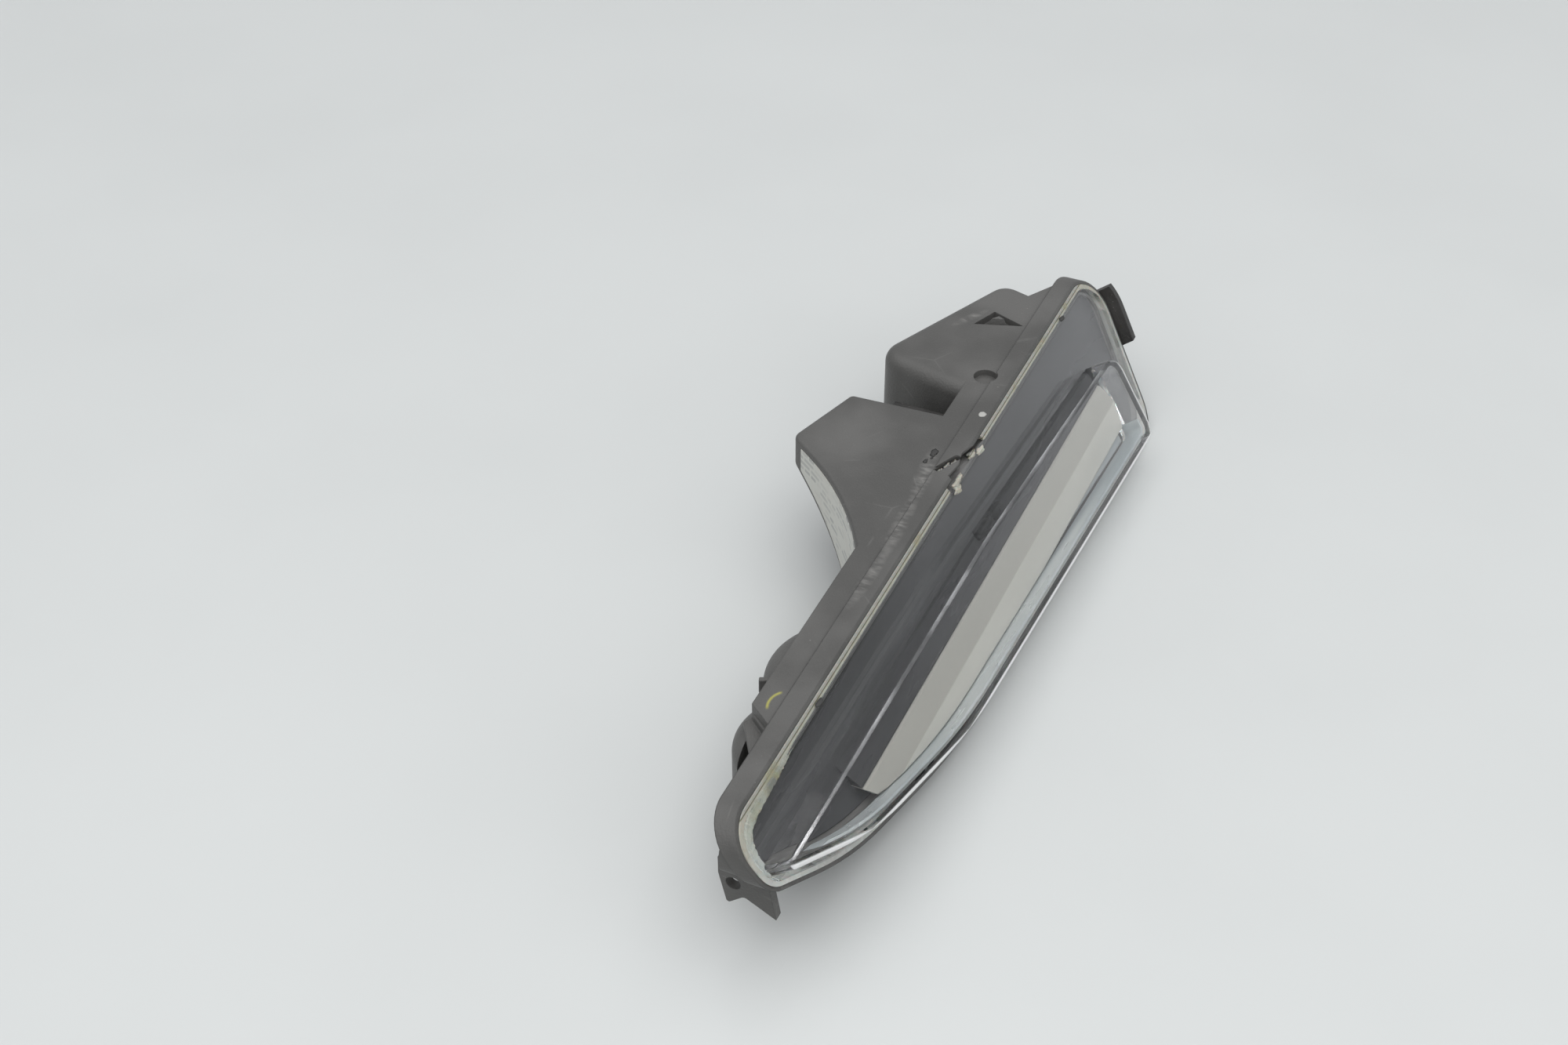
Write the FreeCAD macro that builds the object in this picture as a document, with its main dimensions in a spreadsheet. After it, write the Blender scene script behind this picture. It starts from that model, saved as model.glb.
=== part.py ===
"""Auxiliary driving light: a leaf-shaped lamp about 300 mm long, as it rests on its underside ribs.

Millimetres and degrees. X runs along the lens from the pointed near end to the broad far end,
Y runs to the rear and Z up. The lens plane leans back from the vertical. On that plane, "down" is
counted from the bead line along the lens, and "out" is counted away from the lamp.
"""
import FreeCAD, Part
import math
import os
import re
import Sketcher

# Driving dimensions
SIZES = {
    # lens plane and top face
    "lens_lean": 39.5, "lens_top_y": 2.0, "lens_top_z": 43.0, "top_z": 45.0, "crease_step": 0.8,
    # rim outline on the lens plane
    "near_tip_x": -150.0, "near_tip_down": 18.0, "near_tip_top_radius": 13.0, "near_tip_low_radius": 9.0,
    "shoulder_x": -118.0, "shoulder_down": 34.5, "shoulder_radius": 120.0,
    "belly_x": -60.0, "belly_down": 47.0, "belly_radius": 250.0,
    "far_low_x": 128.5, "far_low_down": 56.0, "far_low_radius": 18.0,
    "far_top_x": 157.0, "far_top_radius": 13.0,
    # rim section, from outside to inside
    "rim_wall": 1.4, "bead_width": 1.6, "leg_wall": 2.0, "leg_gap": 0.2, "inner_wall": 1.2,
    "channel_depth": 4.0, "rim_band_depth": 6.0, "fit_gap": 0.3, "wall": 2.5,
    # rear outline of the trough, seen from above
    "trough_rear_y": 18.0, "trough_near_x": -101.0, "near_step_x": -107.0, "near_step_y": 10.0,
    "near_taper_x": -128.0, "near_taper_y": 5.5, "far_bend_x": 122.0, "far_end_x": 141.0, "far_end_y": 7.0,
    "far_reach_x": 158.0, "far_reach_y": -8.0, "trough_round": 6.0, "front_reach_y": -50.0,
    # near lobe: the driver box with the curved label side and the sloping underside
    "lobe_near_x": -40.0, "lobe_near_y": 10.5, "lobe_root_y": 6.0, "lobe_far_x": 48.0, "lobe_rear_far_x": 45.5,
    "lobe_rear_far_y": 49.8, "lobe_tip_x": 17.0, "lobe_tip_y": 58.2, "lobe_tip_radius": 4.0,
    "label_bend_x": -2.3, "label_bend_y": 31.6, "label_radius": 110.0, "lobe_slope": 33.0,
    "lobe_edge_y": 57.0, "lobe_edge_z": 35.0, "lobe_edge_round": 1.2,
    # far lobe
    "far_lobe_x": 62.0, "far_lobe_root_y": 12.0, "far_lobe_end_x": 127.0, "far_lobe_corner_x": 131.5,
    "far_lobe_corner_y": 27.5, "far_lobe_rear_x": 71.0, "far_lobe_rear_y": 53.5, "far_lobe_rear_round": 9.0,
    "far_lobe_corner_round": 7.0, "far_lobe_low_z": 10.0, "far_lobe_edge_round": 4.5, "far_lobe_wall": 3.0,
    # bridge under the connector, between the lobes
    "bridge_top_z": 24.0, "bridge_low_z": 12.0, "bridge_rear_y": 33.0,
    # the two round bulges behind the near half
    "first_bulge_x": -70.0, "first_bulge_y": 4.0, "first_bulge_radius": 22.7, "first_bulge_low_z": 9.0,
    "second_bulge_x": -100.0, "second_bulge_y": 5.0, "second_bulge_radius": 18.0, "second_bulge_low_z": 14.0,
    "bulge_top_z": 38.0, "bulge_round": 7.0,
    "insert_radius": 3.0, "insert_bore": 2.1, "insert_depth": 10.0, "press_gap": 0.03,
    "first_insert_y": 21.0, "second_insert_y": 18.6,
    # underside ribs
    "rib_near_x": -39.25, "rib_far_x": 115.25, "rib_front_y": -23.0, "rib_rear_y": 16.0, "rib_height": 9.0,
    "rib_wall": 2.5, "rib_cells": 4, "rib_floor": 2.0,
    # near-end tab
    "tab_x": -141.5, "tab_wall": 3.0, "tab_rear_y": 8.0, "tab_top_z": 31.0, "tab_side_z": 25.0,
    "tab_heel_y": 5.5, "tab_heel_z": 14.0, "tab_notch_y": 0.5, "tab_notch_z": 18.5, "tab_toe_y": -9.0,
    "tab_toe_z": 13.5, "tab_front_y": -6.0, "tab_hole_y": 3.6, "tab_hole_z": 22.5, "tab_hole_radius": 2.2,
    # marks on the top face
    "locator_x": 73.0, "locator_y": 13.0, "locator_radius": 4.0, "locator_depth": 2.4,
    "slot_x": 22.5, "slot_y": 7.4, "slot_length": 11.0, "slot_width": 2.4, "slot_end_radius": 1.1,
    "slot_turn": -24.0, "slot_depth": 1.5,
    "tear_near_x": 14.0, "tear_far_x": 39.0, "tear_depth": 2.6, "tear_reach": 4.2,
    "tear_far_bite": 1.3, "tear_high_bite": 3.1, "tear_low_bite": 1.9, "tear_near_bite": 2.9,
    "pocket_near_x": 101.0, "pocket_far_x": 111.0, "pocket_rear_y": 27.5, "pocket_tip_x": 106.5,
    "pocket_tip_y": 11.5, "pocket_depth": 2.6, "pocket_slant": 4.0, "lug_height": 3.6,
    # outer lens
    "lens_wall": 2.2, "lens_proud": 0.8, "bar_height": 10.0, "bar_draft": 2.0, "bar_edge_round": 1.4,
    "bar_near_x": -146.0, "bar_near_top_down": 11.5, "bar_near_low_down": 15.2, "bar_shoulder_x": -115.5,
    "bar_shoulder_down": 30.6, "bar_belly_x": -59.5, "bar_belly_down": 42.4, "bar_far_low_x": 111.0,
    "bar_far_low_down": 49.6, "bar_far_top_x": 119.5, "bar_far_top_down": 18.5, "bar_crest_x": 0.0,
    "bar_crest_down": 12.7, "bar_end_round": 6.0, "bar_tip_round": 1.2,
    # bezel, light guide and lower reflector, in section down the lens plane
    "bezel_set": 2.6, "bezel_wall": 1.6, "bezel_bend_down": 17.0, "bezel_foot_down": 25.8, "bezel_foot_out": 0.0,
    "guide_top_down": 26.5, "guide_top_out": 0.5, "guide_ridge_down": 33.0, "guide_ridge_out": 3.0,
    "guide_low_down": 42.0, "guide_low_out": 1.5, "guide_rear_y": -4.0, "guide_near_x": -99.0,
    "guide_near_low_x": -78.0, "guide_far_x": 113.5, "guide_far_low_x": 106.0, "reflector_width": 3.2,
    "reflector_set": 2.4, "reflector_wall": 2.6, "strip_wall": 0.8, "strip_height": 7.0, "strip_near_x": -132.0,
    "strip_near_down": 19.0, "strip_shoulder_x": -105.0, "strip_shoulder_down": 27.0, "strip_belly_x": -50.0,
    "strip_belly_down": 36.0, "strip_far_x": 114.0, "strip_far_down": 42.0,
    # light-source board, its heat sink and screws
    "board_near_x": -52.0, "board_far_x": 116.0, "board_clear": 5.9, "board_height": 13.4, "board_front_y": -2.2,
    "board_wall": 1.6, "led_side": 3.0, "led_height": 0.9, "led_rise": 4.9, "led_count": 15, "led_margin": 7.0,
    "sink_plate": 2.5, "fin_reach": 8.0, "fin_wall": 1.4, "fin_count": 20, "fin_height": 5.4, "fin_margin": 4.0,
    "screw_radius": 1.4, "screw_head_radius": 2.8, "screw_head_height": 1.8, "screw_head_round": 0.7,
    "screw_gap": 0.1, "boss_radius": 3.4, "screw_rise": 9.4, "screw_margin": 9.0, "screw_bite": 7.0,
    # driver chamber, board and cover, laid out on the sloping underside
    "driver_x": 28.0, "driver_y": 36.0, "chamber_half_x": 10.5, "chamber_half_y": 10.0, "chamber_depth": 10.0,
    "chamber_round": 2.5, "gasket_inset": 0.7, "gasket_width": 1.4, "gasket_depth": 1.0, "cover_half_x": 16.8,
    "cover_half_y": 13.2, "cover_wall": 2.0, "cover_round": 4.0, "cover_screw_x": 14.5, "post_height": 2.0,
    "post_radius": 1.6, "post_margin": 1.9, "driver_wall": 1.6, "choke_radius": 4.2, "choke_height": 4.6,
    "choke_x": -5.0, "choke_y": 3.0, "capacitor_radius": 2.6, "capacitor_height": 5.0, "capacitor_x": 4.0,
    "capacitor_spread": 3.4, "chip_side": 4.4, "chip_height": 1.2, "chip_x": -7.2, "chip_y": -5.6, "chip_step": 5.4,
    # connector in the notch
    "plug_x": 55.2, "plug_width": 13.0, "plug_height": 11.0, "plug_wall": 1.6, "plug_length": 22.0,
    "plug_base": 6.0, "plug_round": 1.5, "pin_count": 3, "pin_pitch": 3.2, "pin_width": 1.4, "pin_wall": 0.7,
    "pin_reach": 8.0,
    # breather under the far lobe
    "vent_x": 96.0, "vent_y": 26.0, "vent_radius": 7.0, "vent_height": 4.0, "vent_stem_radius": 3.0,
    "vent_round": 1.0,
    # strap round the far end of the rim
    "strap_wall": 2.4, "strap_gap": 0.25, "strap_back": 5.0, "strap_front": 4.5, "strap_top_down": 7.0,
    "strap_low_down": 27.0, "strap_near_x": 134.0,
    # label on the curved side
    "label_thickness": 0.25, "label_turn": 45.0, "label_near_x": -25.0, "label_near_y": 18.6,
    "label_rear_x": 13.6, "label_rear_y": 53.8, "label_margin": 1.6,
    # lengths that only have to run clear past the lamp
    "run_past": 120.0,
}

doc = FreeCAD.newDocument("DrivingLight")
sheet = doc.addObject("Spreadsheet::Sheet", "Sizes")
for row, (alias, value) in enumerate(SIZES.items(), start=1):
    sheet.set(f"A{row}", alias)
    sheet.set(f"B{row}", str(value))
    sheet.setAlias(f"B{row}", alias)
doc.recompute()

ALIAS = re.compile(r"[a-z][a-z_]*")


def bound(expression):
    """Write an expression with each driving dimension named as a cell of the sheet."""
    return ALIAS.sub(lambda m: f"Sizes.{m.group()}" if m.group() in SIZES else m.group(), str(expression))


def size(expression):
    """Work out an expression of driving dimensions as a plain number."""
    return float(sheet.evalExpression(bound(expression)))


def bind(thing, **properties):
    """Tie properties of an object to expressions of driving dimensions."""
    for name, expression in properties.items():
        thing.setExpression(name.replace("__", "."), bound(expression))


def lens_point(down, out):
    """Side-view place (y, z) of a point so far down the lens plane and so far out of it."""
    return (f"lens_top_y - ({down}) * sin(lens_lean) - ({out}) * cos(lens_lean)",
            f"lens_top_z - ({down}) * cos(lens_lean) + ({out}) * sin(lens_lean)")


# Frames: axis, turn and place of a sketch or a group of pieces
X_AXIS = FreeCAD.Vector(1, 0, 0)
Z_AXIS = FreeCAD.Vector(0, 0, 1)
DIAGONAL = FreeCAD.Vector(1, 1, 1)
DRIVER_Z = "(lobe_edge_z + tan(lobe_slope) * (driver_y - lobe_edge_y))"


def on_lens(out="0"):
    return X_AXIS, "90 - lens_lean", ("0", *lens_point("0", out))


def on_plan(z):
    return Z_AXIS, "0", ("0", "0", z)


def on_front(y):
    return X_AXIS, "90", ("0", y, "0")


def on_side(x):
    return DIAGONAL, "120", (x, "0", "0")


def on_driver(rise, x="0", y="0"):
    """Frame on the sloping underside of the near lobe, raised into the lobe."""
    return X_AXIS, "lobe_slope", (f"driver_x + ({x})",
                                  f"driver_y + ({y}) * cos(lobe_slope) - ({rise}) * sin(lobe_slope)",
                                  f"{DRIVER_Z} + ({y}) * sin(lobe_slope) + ({rise}) * cos(lobe_slope)")


# Directions
ALONG = ("1", "0", "0")
REAR = ("0", "1", "0")
FRONT = ("0", "-1", "0")
UP = ("0", "0", "1")
OUT = ("0", "-cos(lens_lean)", "sin(lens_lean)")
IN = ("0", "cos(lens_lean)", "-sin(lens_lean)")
INTO_LOBE = ("0", "-sin(lobe_slope)", "cos(lobe_slope)")


def set_frame(thing, frame):
    axis, turn, place = frame
    thing.Placement = FreeCAD.Placement(FreeCAD.Vector(), FreeCAD.Rotation(axis, 30))
    bind(thing, Placement__Rotation__Angle=turn)
    bind(thing, Placement__Base__x=place[0], Placement__Base__y=place[1], Placement__Base__z=place[2])


def corner_cut(before, corner, after, radius):
    """Where an arc of that radius leaves one side, its centre, and where it meets the next side."""
    back = (before - corner).normalize()
    ahead = (after - corner).normalize()
    half_angle = back.getAngle(ahead) / 2
    reach = radius / math.tan(half_angle)
    centre = corner + (back + ahead).normalize() * (radius / math.sin(half_angle))
    return corner + back * reach, centre, corner + ahead * reach


def corner_arc(start, centre, end, radius):
    """Arc at a corner, always counterclockwise, and which of its ends (1 or 2) the outline reaches first."""
    left_turn = (start - centre).cross(end - centre).z > 0
    first, last = (start, end) if left_turn else (end, start)
    angles = [math.atan2(point.y - centre.y, point.x - centre.x) for point in (first, last)]
    return Part.ArcOfCircle(Part.Circle(centre, Z_AXIS, radius), *angles), 1 if left_turn else 2


def draw_outline(sketch, corners):
    """Closed outline of straight sides with a tangent arc at each corner (x, y, radius) that has a radius."""
    points = [FreeCAD.Vector(size(x), size(y), 0) for x, y, _ in corners]
    count = len(points)
    cuts = []
    for k, (_, _, radius) in enumerate(corners):
        if radius is None:
            cuts.append((points[k], None, points[k]))
        else:
            cuts.append(corner_cut(points[k - 1], points[k], points[(k + 1) % count], size(radius)))
    for k in range(count):
        sketch.addGeometry(Part.LineSegment(cuts[k][2], cuts[(k + 1) % count][0]))
    marks = [sketch.addGeometry(Part.Point(point), True) for point in points]
    for k, (x, y, radius) in enumerate(corners):
        side, last_side = k, (k - 1) % count
        for kind, expression, number in (("DistanceX", x, points[k].x), ("DistanceY", y, points[k].y)):
            rule = sketch.addConstraint(Sketcher.Constraint(kind, -1, 1, marks[k], 1, number))
            sketch.setExpression(f"Constraints[{rule}]", bound(expression))
        if radius is None:
            sketch.addConstraint(Sketcher.Constraint("Coincident", side, 1, marks[k], 1))
            sketch.addConstraint(Sketcher.Constraint("Coincident", last_side, 2, marks[k], 1))
            continue
        curve, reached = corner_arc(*cuts[k], size(radius))
        arc = sketch.addGeometry(curve)
        sketch.addConstraint(Sketcher.Constraint("Tangent", last_side, 2, arc, reached))
        sketch.addConstraint(Sketcher.Constraint("Tangent", arc, 3 - reached, side, 1))
        sketch.addConstraint(Sketcher.Constraint("PointOnObject", marks[k], 1, side))
        sketch.addConstraint(Sketcher.Constraint("PointOnObject", marks[k], 1, last_side))
        rule = sketch.addConstraint(Sketcher.Constraint("Radius", arc, size(radius)))
        sketch.setExpression(f"Constraints[{rule}]", bound(radius))
    return sketch


def outline(name, frame, corners):
    sketch = doc.addObject("Sketcher::SketchObject", name)
    set_frame(sketch, frame)
    return draw_outline(sketch, corners)


def box_corners(low_x, high_x, low_y, high_y, radius=None):
    return [(low_x, low_y, radius), (high_x, low_y, radius), (high_x, high_y, radius), (low_x, high_y, radius)]


def inset(name, source, distance):
    """The outline drawn again, so far inside the first one, or outside it for a negative distance."""
    ring = doc.addObject("Part::Offset2D", name)
    ring.Source = source
    ring.Join = "Intersection"
    bind(ring, Value=f"-({distance})")
    return ring


def prism(name, base, direction, length, draft=None, back="0"):
    solid = doc.addObject("Part::Extrusion", name)
    solid.Base = base
    solid.DirMode = "Custom"
    solid.Solid = True
    bind(solid, Dir__x=direction[0], Dir__y=direction[1], Dir__z=direction[2])
    bind(solid, LengthFwd=length, LengthRev=back)
    if draft:
        bind(solid, TaperAngle=draft)
    return solid


def round_bar(name, radius, length, frame):
    solid = doc.addObject("Part::Cylinder", name)
    bind(solid, Radius=radius, Height=length)
    set_frame(solid, frame)
    return solid


def fuse(name, *shapes):
    joined = doc.addObject("Part::MultiFuse", name)
    joined.Shapes = list(shapes)
    joined.Refine = True
    return joined


def common(name, *shapes):
    shared = doc.addObject("Part::MultiCommon", name)
    shared.Shapes = list(shapes)
    shared.Refine = True
    return shared


def cut(name, base, *tools):
    rest = doc.addObject("Part::Cut", name)
    rest.Base = base
    rest.Tool = tools[0] if len(tools) == 1 else fuse(f"{name}_tools", *tools)
    rest.Refine = True
    return rest


def group(name, *shapes):
    held = doc.addObject("Part::Compound", name)
    held.Links = list(shapes)
    return held


# PartDesign bodies
def plane(body, role):
    return next(feature for feature in body.Origin.OriginFeatures if feature.Role == role)


def body_outline(body, name, role, offset, corners):
    sketch = body.newObject("Sketcher::SketchObject", name)
    sketch.AttachmentSupport = [(plane(body, role), "")]
    sketch.MapMode = "FlatFace"
    bind(sketch, AttachmentOffset__Base__z=offset)
    return draw_outline(sketch, corners)


def pad(body, name, sketch, length, reverse=False):
    feature = body.newObject("PartDesign::Pad", name)
    feature.Profile = sketch
    feature.Reversed = reverse
    bind(feature, Length=length)
    return feature


def turned(name, profile, x, y, z="0"):
    """Body turned about an upright axis at (x, y), from a half profile of (radius, height, rounding)."""
    body = doc.addObject("PartDesign::Body", name)
    sketch = body_outline(body, f"{name}_profile", "XZ_Plane", "0", profile)
    feature = body.newObject("PartDesign::Revolution", f"{name}_turn")
    feature.Profile = sketch
    feature.ReferenceAxis = (sketch, ["V_Axis"])
    set_frame(body, (Z_AXIS, "0", (x, y, z)))
    return body


# Rim outline and the outlines that follow it inside
TOP_DOWN = "((lens_top_z - top_z - crease_step) / cos(lens_lean))"
rim = outline("rim_outline", on_lens(), [
    ("near_tip_x", f"-{TOP_DOWN}", "near_tip_top_radius"),
    ("near_tip_x", "-near_tip_down", "near_tip_low_radius"),
    ("shoulder_x", "-shoulder_down", "shoulder_radius"),
    ("belly_x", "-belly_down", "belly_radius"),
    ("far_low_x", "-far_low_down", "far_low_radius"),
    ("far_top_x", f"-{TOP_DOWN}", "far_top_radius"),
])
LENS_EDGE = "rim_wall + bead_width"
LEG_INSIDE = f"{LENS_EDGE} + leg_wall"
CHANNEL_INSIDE = f"{LEG_INSIDE} + leg_gap"
CAVITY = f"{CHANNEL_INSIDE} + inner_wall"
trough_edge = inset("trough_edge", rim, "crease_step / cos(lens_lean)")
channel_edge = inset("channel_edge", rim, "rim_wall")
lens_edge = inset("lens_edge", rim, LENS_EDGE)
leg_inside = inset("leg_inside", rim, LEG_INSIDE)
channel_inside = inset("channel_inside", rim, CHANNEL_INSIDE)
cavity_edge = inset("cavity_edge", rim, CAVITY)
clear_edge = inset("clear_edge", rim, f"{CAVITY} + fit_gap")
reflector_inside = inset("reflector_inside", rim, f"{CAVITY} + fit_gap + reflector_width")
guide_edge = inset("guide_edge", rim, f"{CAVITY} + reflector_width + 2 * fit_gap")


def rear_plan(name, inward):
    """Outline of the trough from above, with its rear side moved in by a wall."""
    return outline(name, on_plan("-wall"), [
        (f"near_tip_x - wall + ({inward})", "front_reach_y", None),
        (f"far_reach_x - ({inward})", "front_reach_y", None),
        (f"far_reach_x - ({inward})", f"far_reach_y - ({inward})", None),
        (f"far_end_x - ({inward})", f"far_end_y - ({inward})", "trough_round"),
        (f"far_bend_x - ({inward})", f"trough_rear_y - ({inward})", "trough_round"),
        (f"trough_near_x + ({inward})", f"trough_rear_y - ({inward})", None),
        (f"near_step_x + ({inward})", f"near_step_y - ({inward})", None),
        (f"near_taper_x + ({inward})", f"near_taper_y - ({inward})", None),
        (f"near_tip_x - wall + ({inward})", f"near_taper_y - ({inward})", None),
    ])


def housing():
    # the leaf-shaped trough runs straight back from the leaning rim, and ends at the rear outline
    band = prism("rim_band", rim, REAR, "rim_band_depth")
    trough = common("trough", prism("trough_run", trough_edge, REAR, "run_past"),
                    prism("trough_rear", rear_plan("trough_plan", "0"), UP, "run_past"))
    parts = [band, trough, near_lobe(), far_lobe(), bridge(), rib_frame(), near_tab()]
    parts += [bulge("first_bulge"), bulge("second_bulge")]
    shell = fuse("housing_shell", *parts)
    doc.recompute()
    # hollows: lamp chamber, lens channel, far lobe, driver chamber
    chamber = lamp_chamber("lamp_chamber", cavity_edge, "wall")
    channel = cut("channel", prism("channel_outer", channel_edge, REAR, "channel_depth / cos(lens_lean)"),
                  prism("channel_core", channel_inside, REAR, "2 * channel_depth / cos(lens_lean)"))
    hollow = prism("far_lobe_hollow", inset("far_lobe_inside", doc.getObject("far_lobe_plan"), "far_lobe_wall"),
                   ("0", "0", "-1"), "top_z - far_lobe_low_z - 2 * far_lobe_wall")
    bind(hollow, Placement__Base__z="-far_lobe_wall")
    seat = prism("lens_seat", channel_edge, REAR, "(lens_wall - lens_proud + leg_gap) / cos(lens_lean)")
    hollowed = cut("hollowed_housing", shell, chamber, channel, seat, hollow, *driver_chamber(), *insert_holes(),
                   *top_marks(), *rib_pockets(), tab_hole(), vent_hole())
    return fuse("housing", hollowed, *board_bosses(), *driver_posts())


LOBE_CORNERS = [
    ("lobe_near_x", "lobe_root_y", None),
    ("lobe_far_x", "lobe_root_y", None),
    ("lobe_rear_far_x", "lobe_rear_far_y", "lobe_tip_radius / 2"),
    ("lobe_tip_x", "lobe_tip_y", "lobe_tip_radius"),
    ("label_bend_x", "label_bend_y", "label_radius"),
    ("lobe_near_x", "lobe_near_y", None),
]


def near_lobe():
    body = doc.addObject("PartDesign::Body", "near_lobe")
    plan = body_outline(body, "near_lobe_plan", "XY_Plane", "top_z", LOBE_CORNERS)
    pad(body, "near_lobe_pad", plan, "top_z", reverse=True)
    doc.recompute()
    below = body_outline(body, "near_lobe_below", "YZ_Plane", "lobe_near_x - wall", [
        ("0", "lobe_edge_z - tan(lobe_slope) * lobe_edge_y", None),
        ("0", "-run_past", None),
        ("run_past", "-run_past", None),
        ("run_past", "lobe_edge_z + tan(lobe_slope) * (run_past - lobe_edge_y)", None),
    ])
    slope = body.newObject("PartDesign::Pocket", "near_lobe_slope")
    slope.Profile = below
    slope.Reversed = True
    bind(slope, Length="run_past")
    doc.recompute()
    rounding = body.newObject("PartDesign::Fillet", "near_lobe_rounding")
    rounding.Base = (slope, top_edges(slope))
    bind(rounding, Radius="lobe_edge_round")
    return body


def top_edges(feature):
    """Names of the edges round a lobe's top face that stand clear of the trough."""
    names = []
    for k, edge in enumerate(feature.Shape.Edges, start=1):
        ends = [vertex.Point for vertex in edge.Vertexes]
        on_top = all(abs(end.z - size("top_z")) < 0.01 for end in ends)
        if on_top and max(end.y for end in ends) > size("trough_rear_y"):
            names.append(f"Edge{k}")
    return names


def far_lobe():
    body = doc.addObject("PartDesign::Body", "far_lobe")
    corners = [
        ("far_lobe_x", "far_lobe_root_y", None),
        ("far_lobe_end_x", "far_lobe_root_y", None),
        ("far_lobe_corner_x", "far_lobe_corner_y", "far_lobe_corner_round"),
        ("far_lobe_rear_x", "far_lobe_rear_y", "far_lobe_rear_round"),
    ]
    plan = body_outline(body, "far_lobe_outline", "XY_Plane", "top_z", corners)
    block = pad(body, "far_lobe_pad", plan, "top_z - far_lobe_low_z", reverse=True)
    doc.recompute()
    rounding = body.newObject("PartDesign::Fillet", "far_lobe_rounding")
    rounding.Base = (block, top_edges(block))
    bind(rounding, Radius="far_lobe_edge_round")
    outline("far_lobe_plan", on_plan("top_z"), corners)
    return body


def bridge():
    """Ledge between the lobes that carries the connector."""
    plan = outline("bridge_plan", on_plan("bridge_low_z"), [
        ("lobe_far_x - wall", "lobe_root_y", None),
        ("far_lobe_x + 2 * wall", "lobe_root_y", None),
        ("far_lobe_x + 3 * wall", "bridge_rear_y", None),
        ("lobe_rear_far_x", "bridge_rear_y", None),
    ])
    return prism("bridge", plan, UP, "bridge_top_z - bridge_low_z")


def bulge(name):
    """Round swelling of the rear wall, turned about an upright axis."""
    whole = turned(f"{name}_whole", [
        ("0", f"{name}_low_z", None),
        (f"{name}_radius", f"{name}_low_z", "bulge_round / 2"),
        (f"{name}_radius", "bulge_top_z", "bulge_round"),
        ("0", "bulge_top_z", None),
    ], f"{name}_x", f"{name}_y")
    behind = outline(f"{name}_behind", on_plan("0"), box_corners(
        f"{name}_x - 2 * {name}_radius", f"{name}_x + 2 * {name}_radius", "trough_rear_y - wall / 2", "run_past"))
    return common(name, whole, prism(f"{name}_half", behind, UP, "top_z"))


def rib_frame():
    plan = outline("rib_plan", on_plan("0"),
                   box_corners("rib_near_x", "rib_far_x", "rib_front_y", "rib_rear_y", "2 * rib_wall"))
    return prism("rib_frame", plan, UP, "rib_height")


def rib_pockets():
    """Open cells between the ribs, seen from below."""
    pitch = "((rib_far_x - rib_near_x - rib_wall) / rib_cells)"
    pockets = []
    for k in range(int(SIZES["rib_cells"])):
        low = f"rib_near_x + rib_wall + {pitch} * {k}"
        plan = outline(f"rib_cell_{k}", on_plan("0"), box_corners(
            low, f"{low} + {pitch} - rib_wall", "rib_front_y + rib_wall", "rib_rear_y - rib_wall", "rib_wall"))
        pockets.append(prism(f"rib_pocket_{k}", plan, UP, "rib_floor"))
    return pockets


def near_tab():
    profile = outline("tab_profile", on_side("tab_x - tab_wall"), [
        ("tab_rear_y", "tab_top_z", None),
        ("tab_front_y", "tab_top_z", None),
        ("tab_toe_y", "tab_toe_z", None),
        ("tab_notch_y", "tab_notch_z", "tab_wall / 2"),
        ("tab_heel_y", "tab_heel_z", "tab_wall / 4"),
        ("tab_rear_y", "tab_side_z", "tab_wall"),
    ])
    return prism("near_tab", profile, ALONG, "tab_wall")


def tab_hole():
    return round_bar("tab_hole", "tab_hole_radius", "3 * tab_wall",
                     (DIAGONAL, "120", ("tab_x - 2 * tab_wall", "tab_hole_y", "tab_hole_z")))


def lamp_chamber(name, edge, rear_wall):
    return common(name, prism(f"{name}_run", edge, REAR, "run_past", back="bar_height"),
                  prism(f"{name}_rear", rear_plan(f"{name}_plan", rear_wall), UP, "run_past"))


def driver_rect(name, rise, half_x, half_y, radius):
    return outline(name, on_driver(rise), box_corners(f"-({half_x})", half_x, f"-({half_y})", half_y, radius))


def ring_of_gasket(name, depth, margin):
    outer = driver_rect(f"{name}_outer", "0", f"chamber_half_x + gasket_inset + gasket_width + ({margin})",
                        f"chamber_half_y + gasket_inset + gasket_width + ({margin})", "chamber_round + gasket_width")
    inner = driver_rect(f"{name}_inner", "0", f"chamber_half_x + gasket_inset - ({margin})",
                        f"chamber_half_y + gasket_inset - ({margin})", "chamber_round")
    return cut(name, prism(f"{name}_solid", outer, INTO_LOBE, depth),
               prism(f"{name}_core", inner, INTO_LOBE, f"2 * ({depth})"))


def driver_chamber():
    mouth = driver_rect("driver_mouth", "-wall", "chamber_half_x", "chamber_half_y", "chamber_round")
    room = prism("driver_room", mouth, INTO_LOBE, "chamber_depth + wall")
    holes = [round_bar(f"cover_hole_{k}", "screw_radius + screw_gap", "screw_bite + wall",
                       on_driver("-wall", x=f"{side} * cover_screw_x")) for k, side in enumerate((-1, 1))]
    return [room, ring_of_gasket("gasket_groove", "gasket_depth", "press_gap"), *holes]


def driver_posts():
    """Posts that hold the driver board off the roof of its chamber."""
    posts = []
    for k, (side_x, side_y) in enumerate(((-1, -1), (1, -1), (1, 1), (-1, 1))):
        place = on_driver("chamber_depth - post_height", f"{side_x} * (chamber_half_x - post_margin)",
                          f"{side_y} * (chamber_half_y - post_margin)")
        posts.append(round_bar(f"driver_post_{k}", "post_radius", "post_height + wall", place))
    return posts


def insert_places():
    return ((1, "first_bulge_x", "first_insert_y", "first_bulge_low_z"),
            (2, "second_bulge_x", "second_insert_y", "second_bulge_low_z"))


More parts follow.
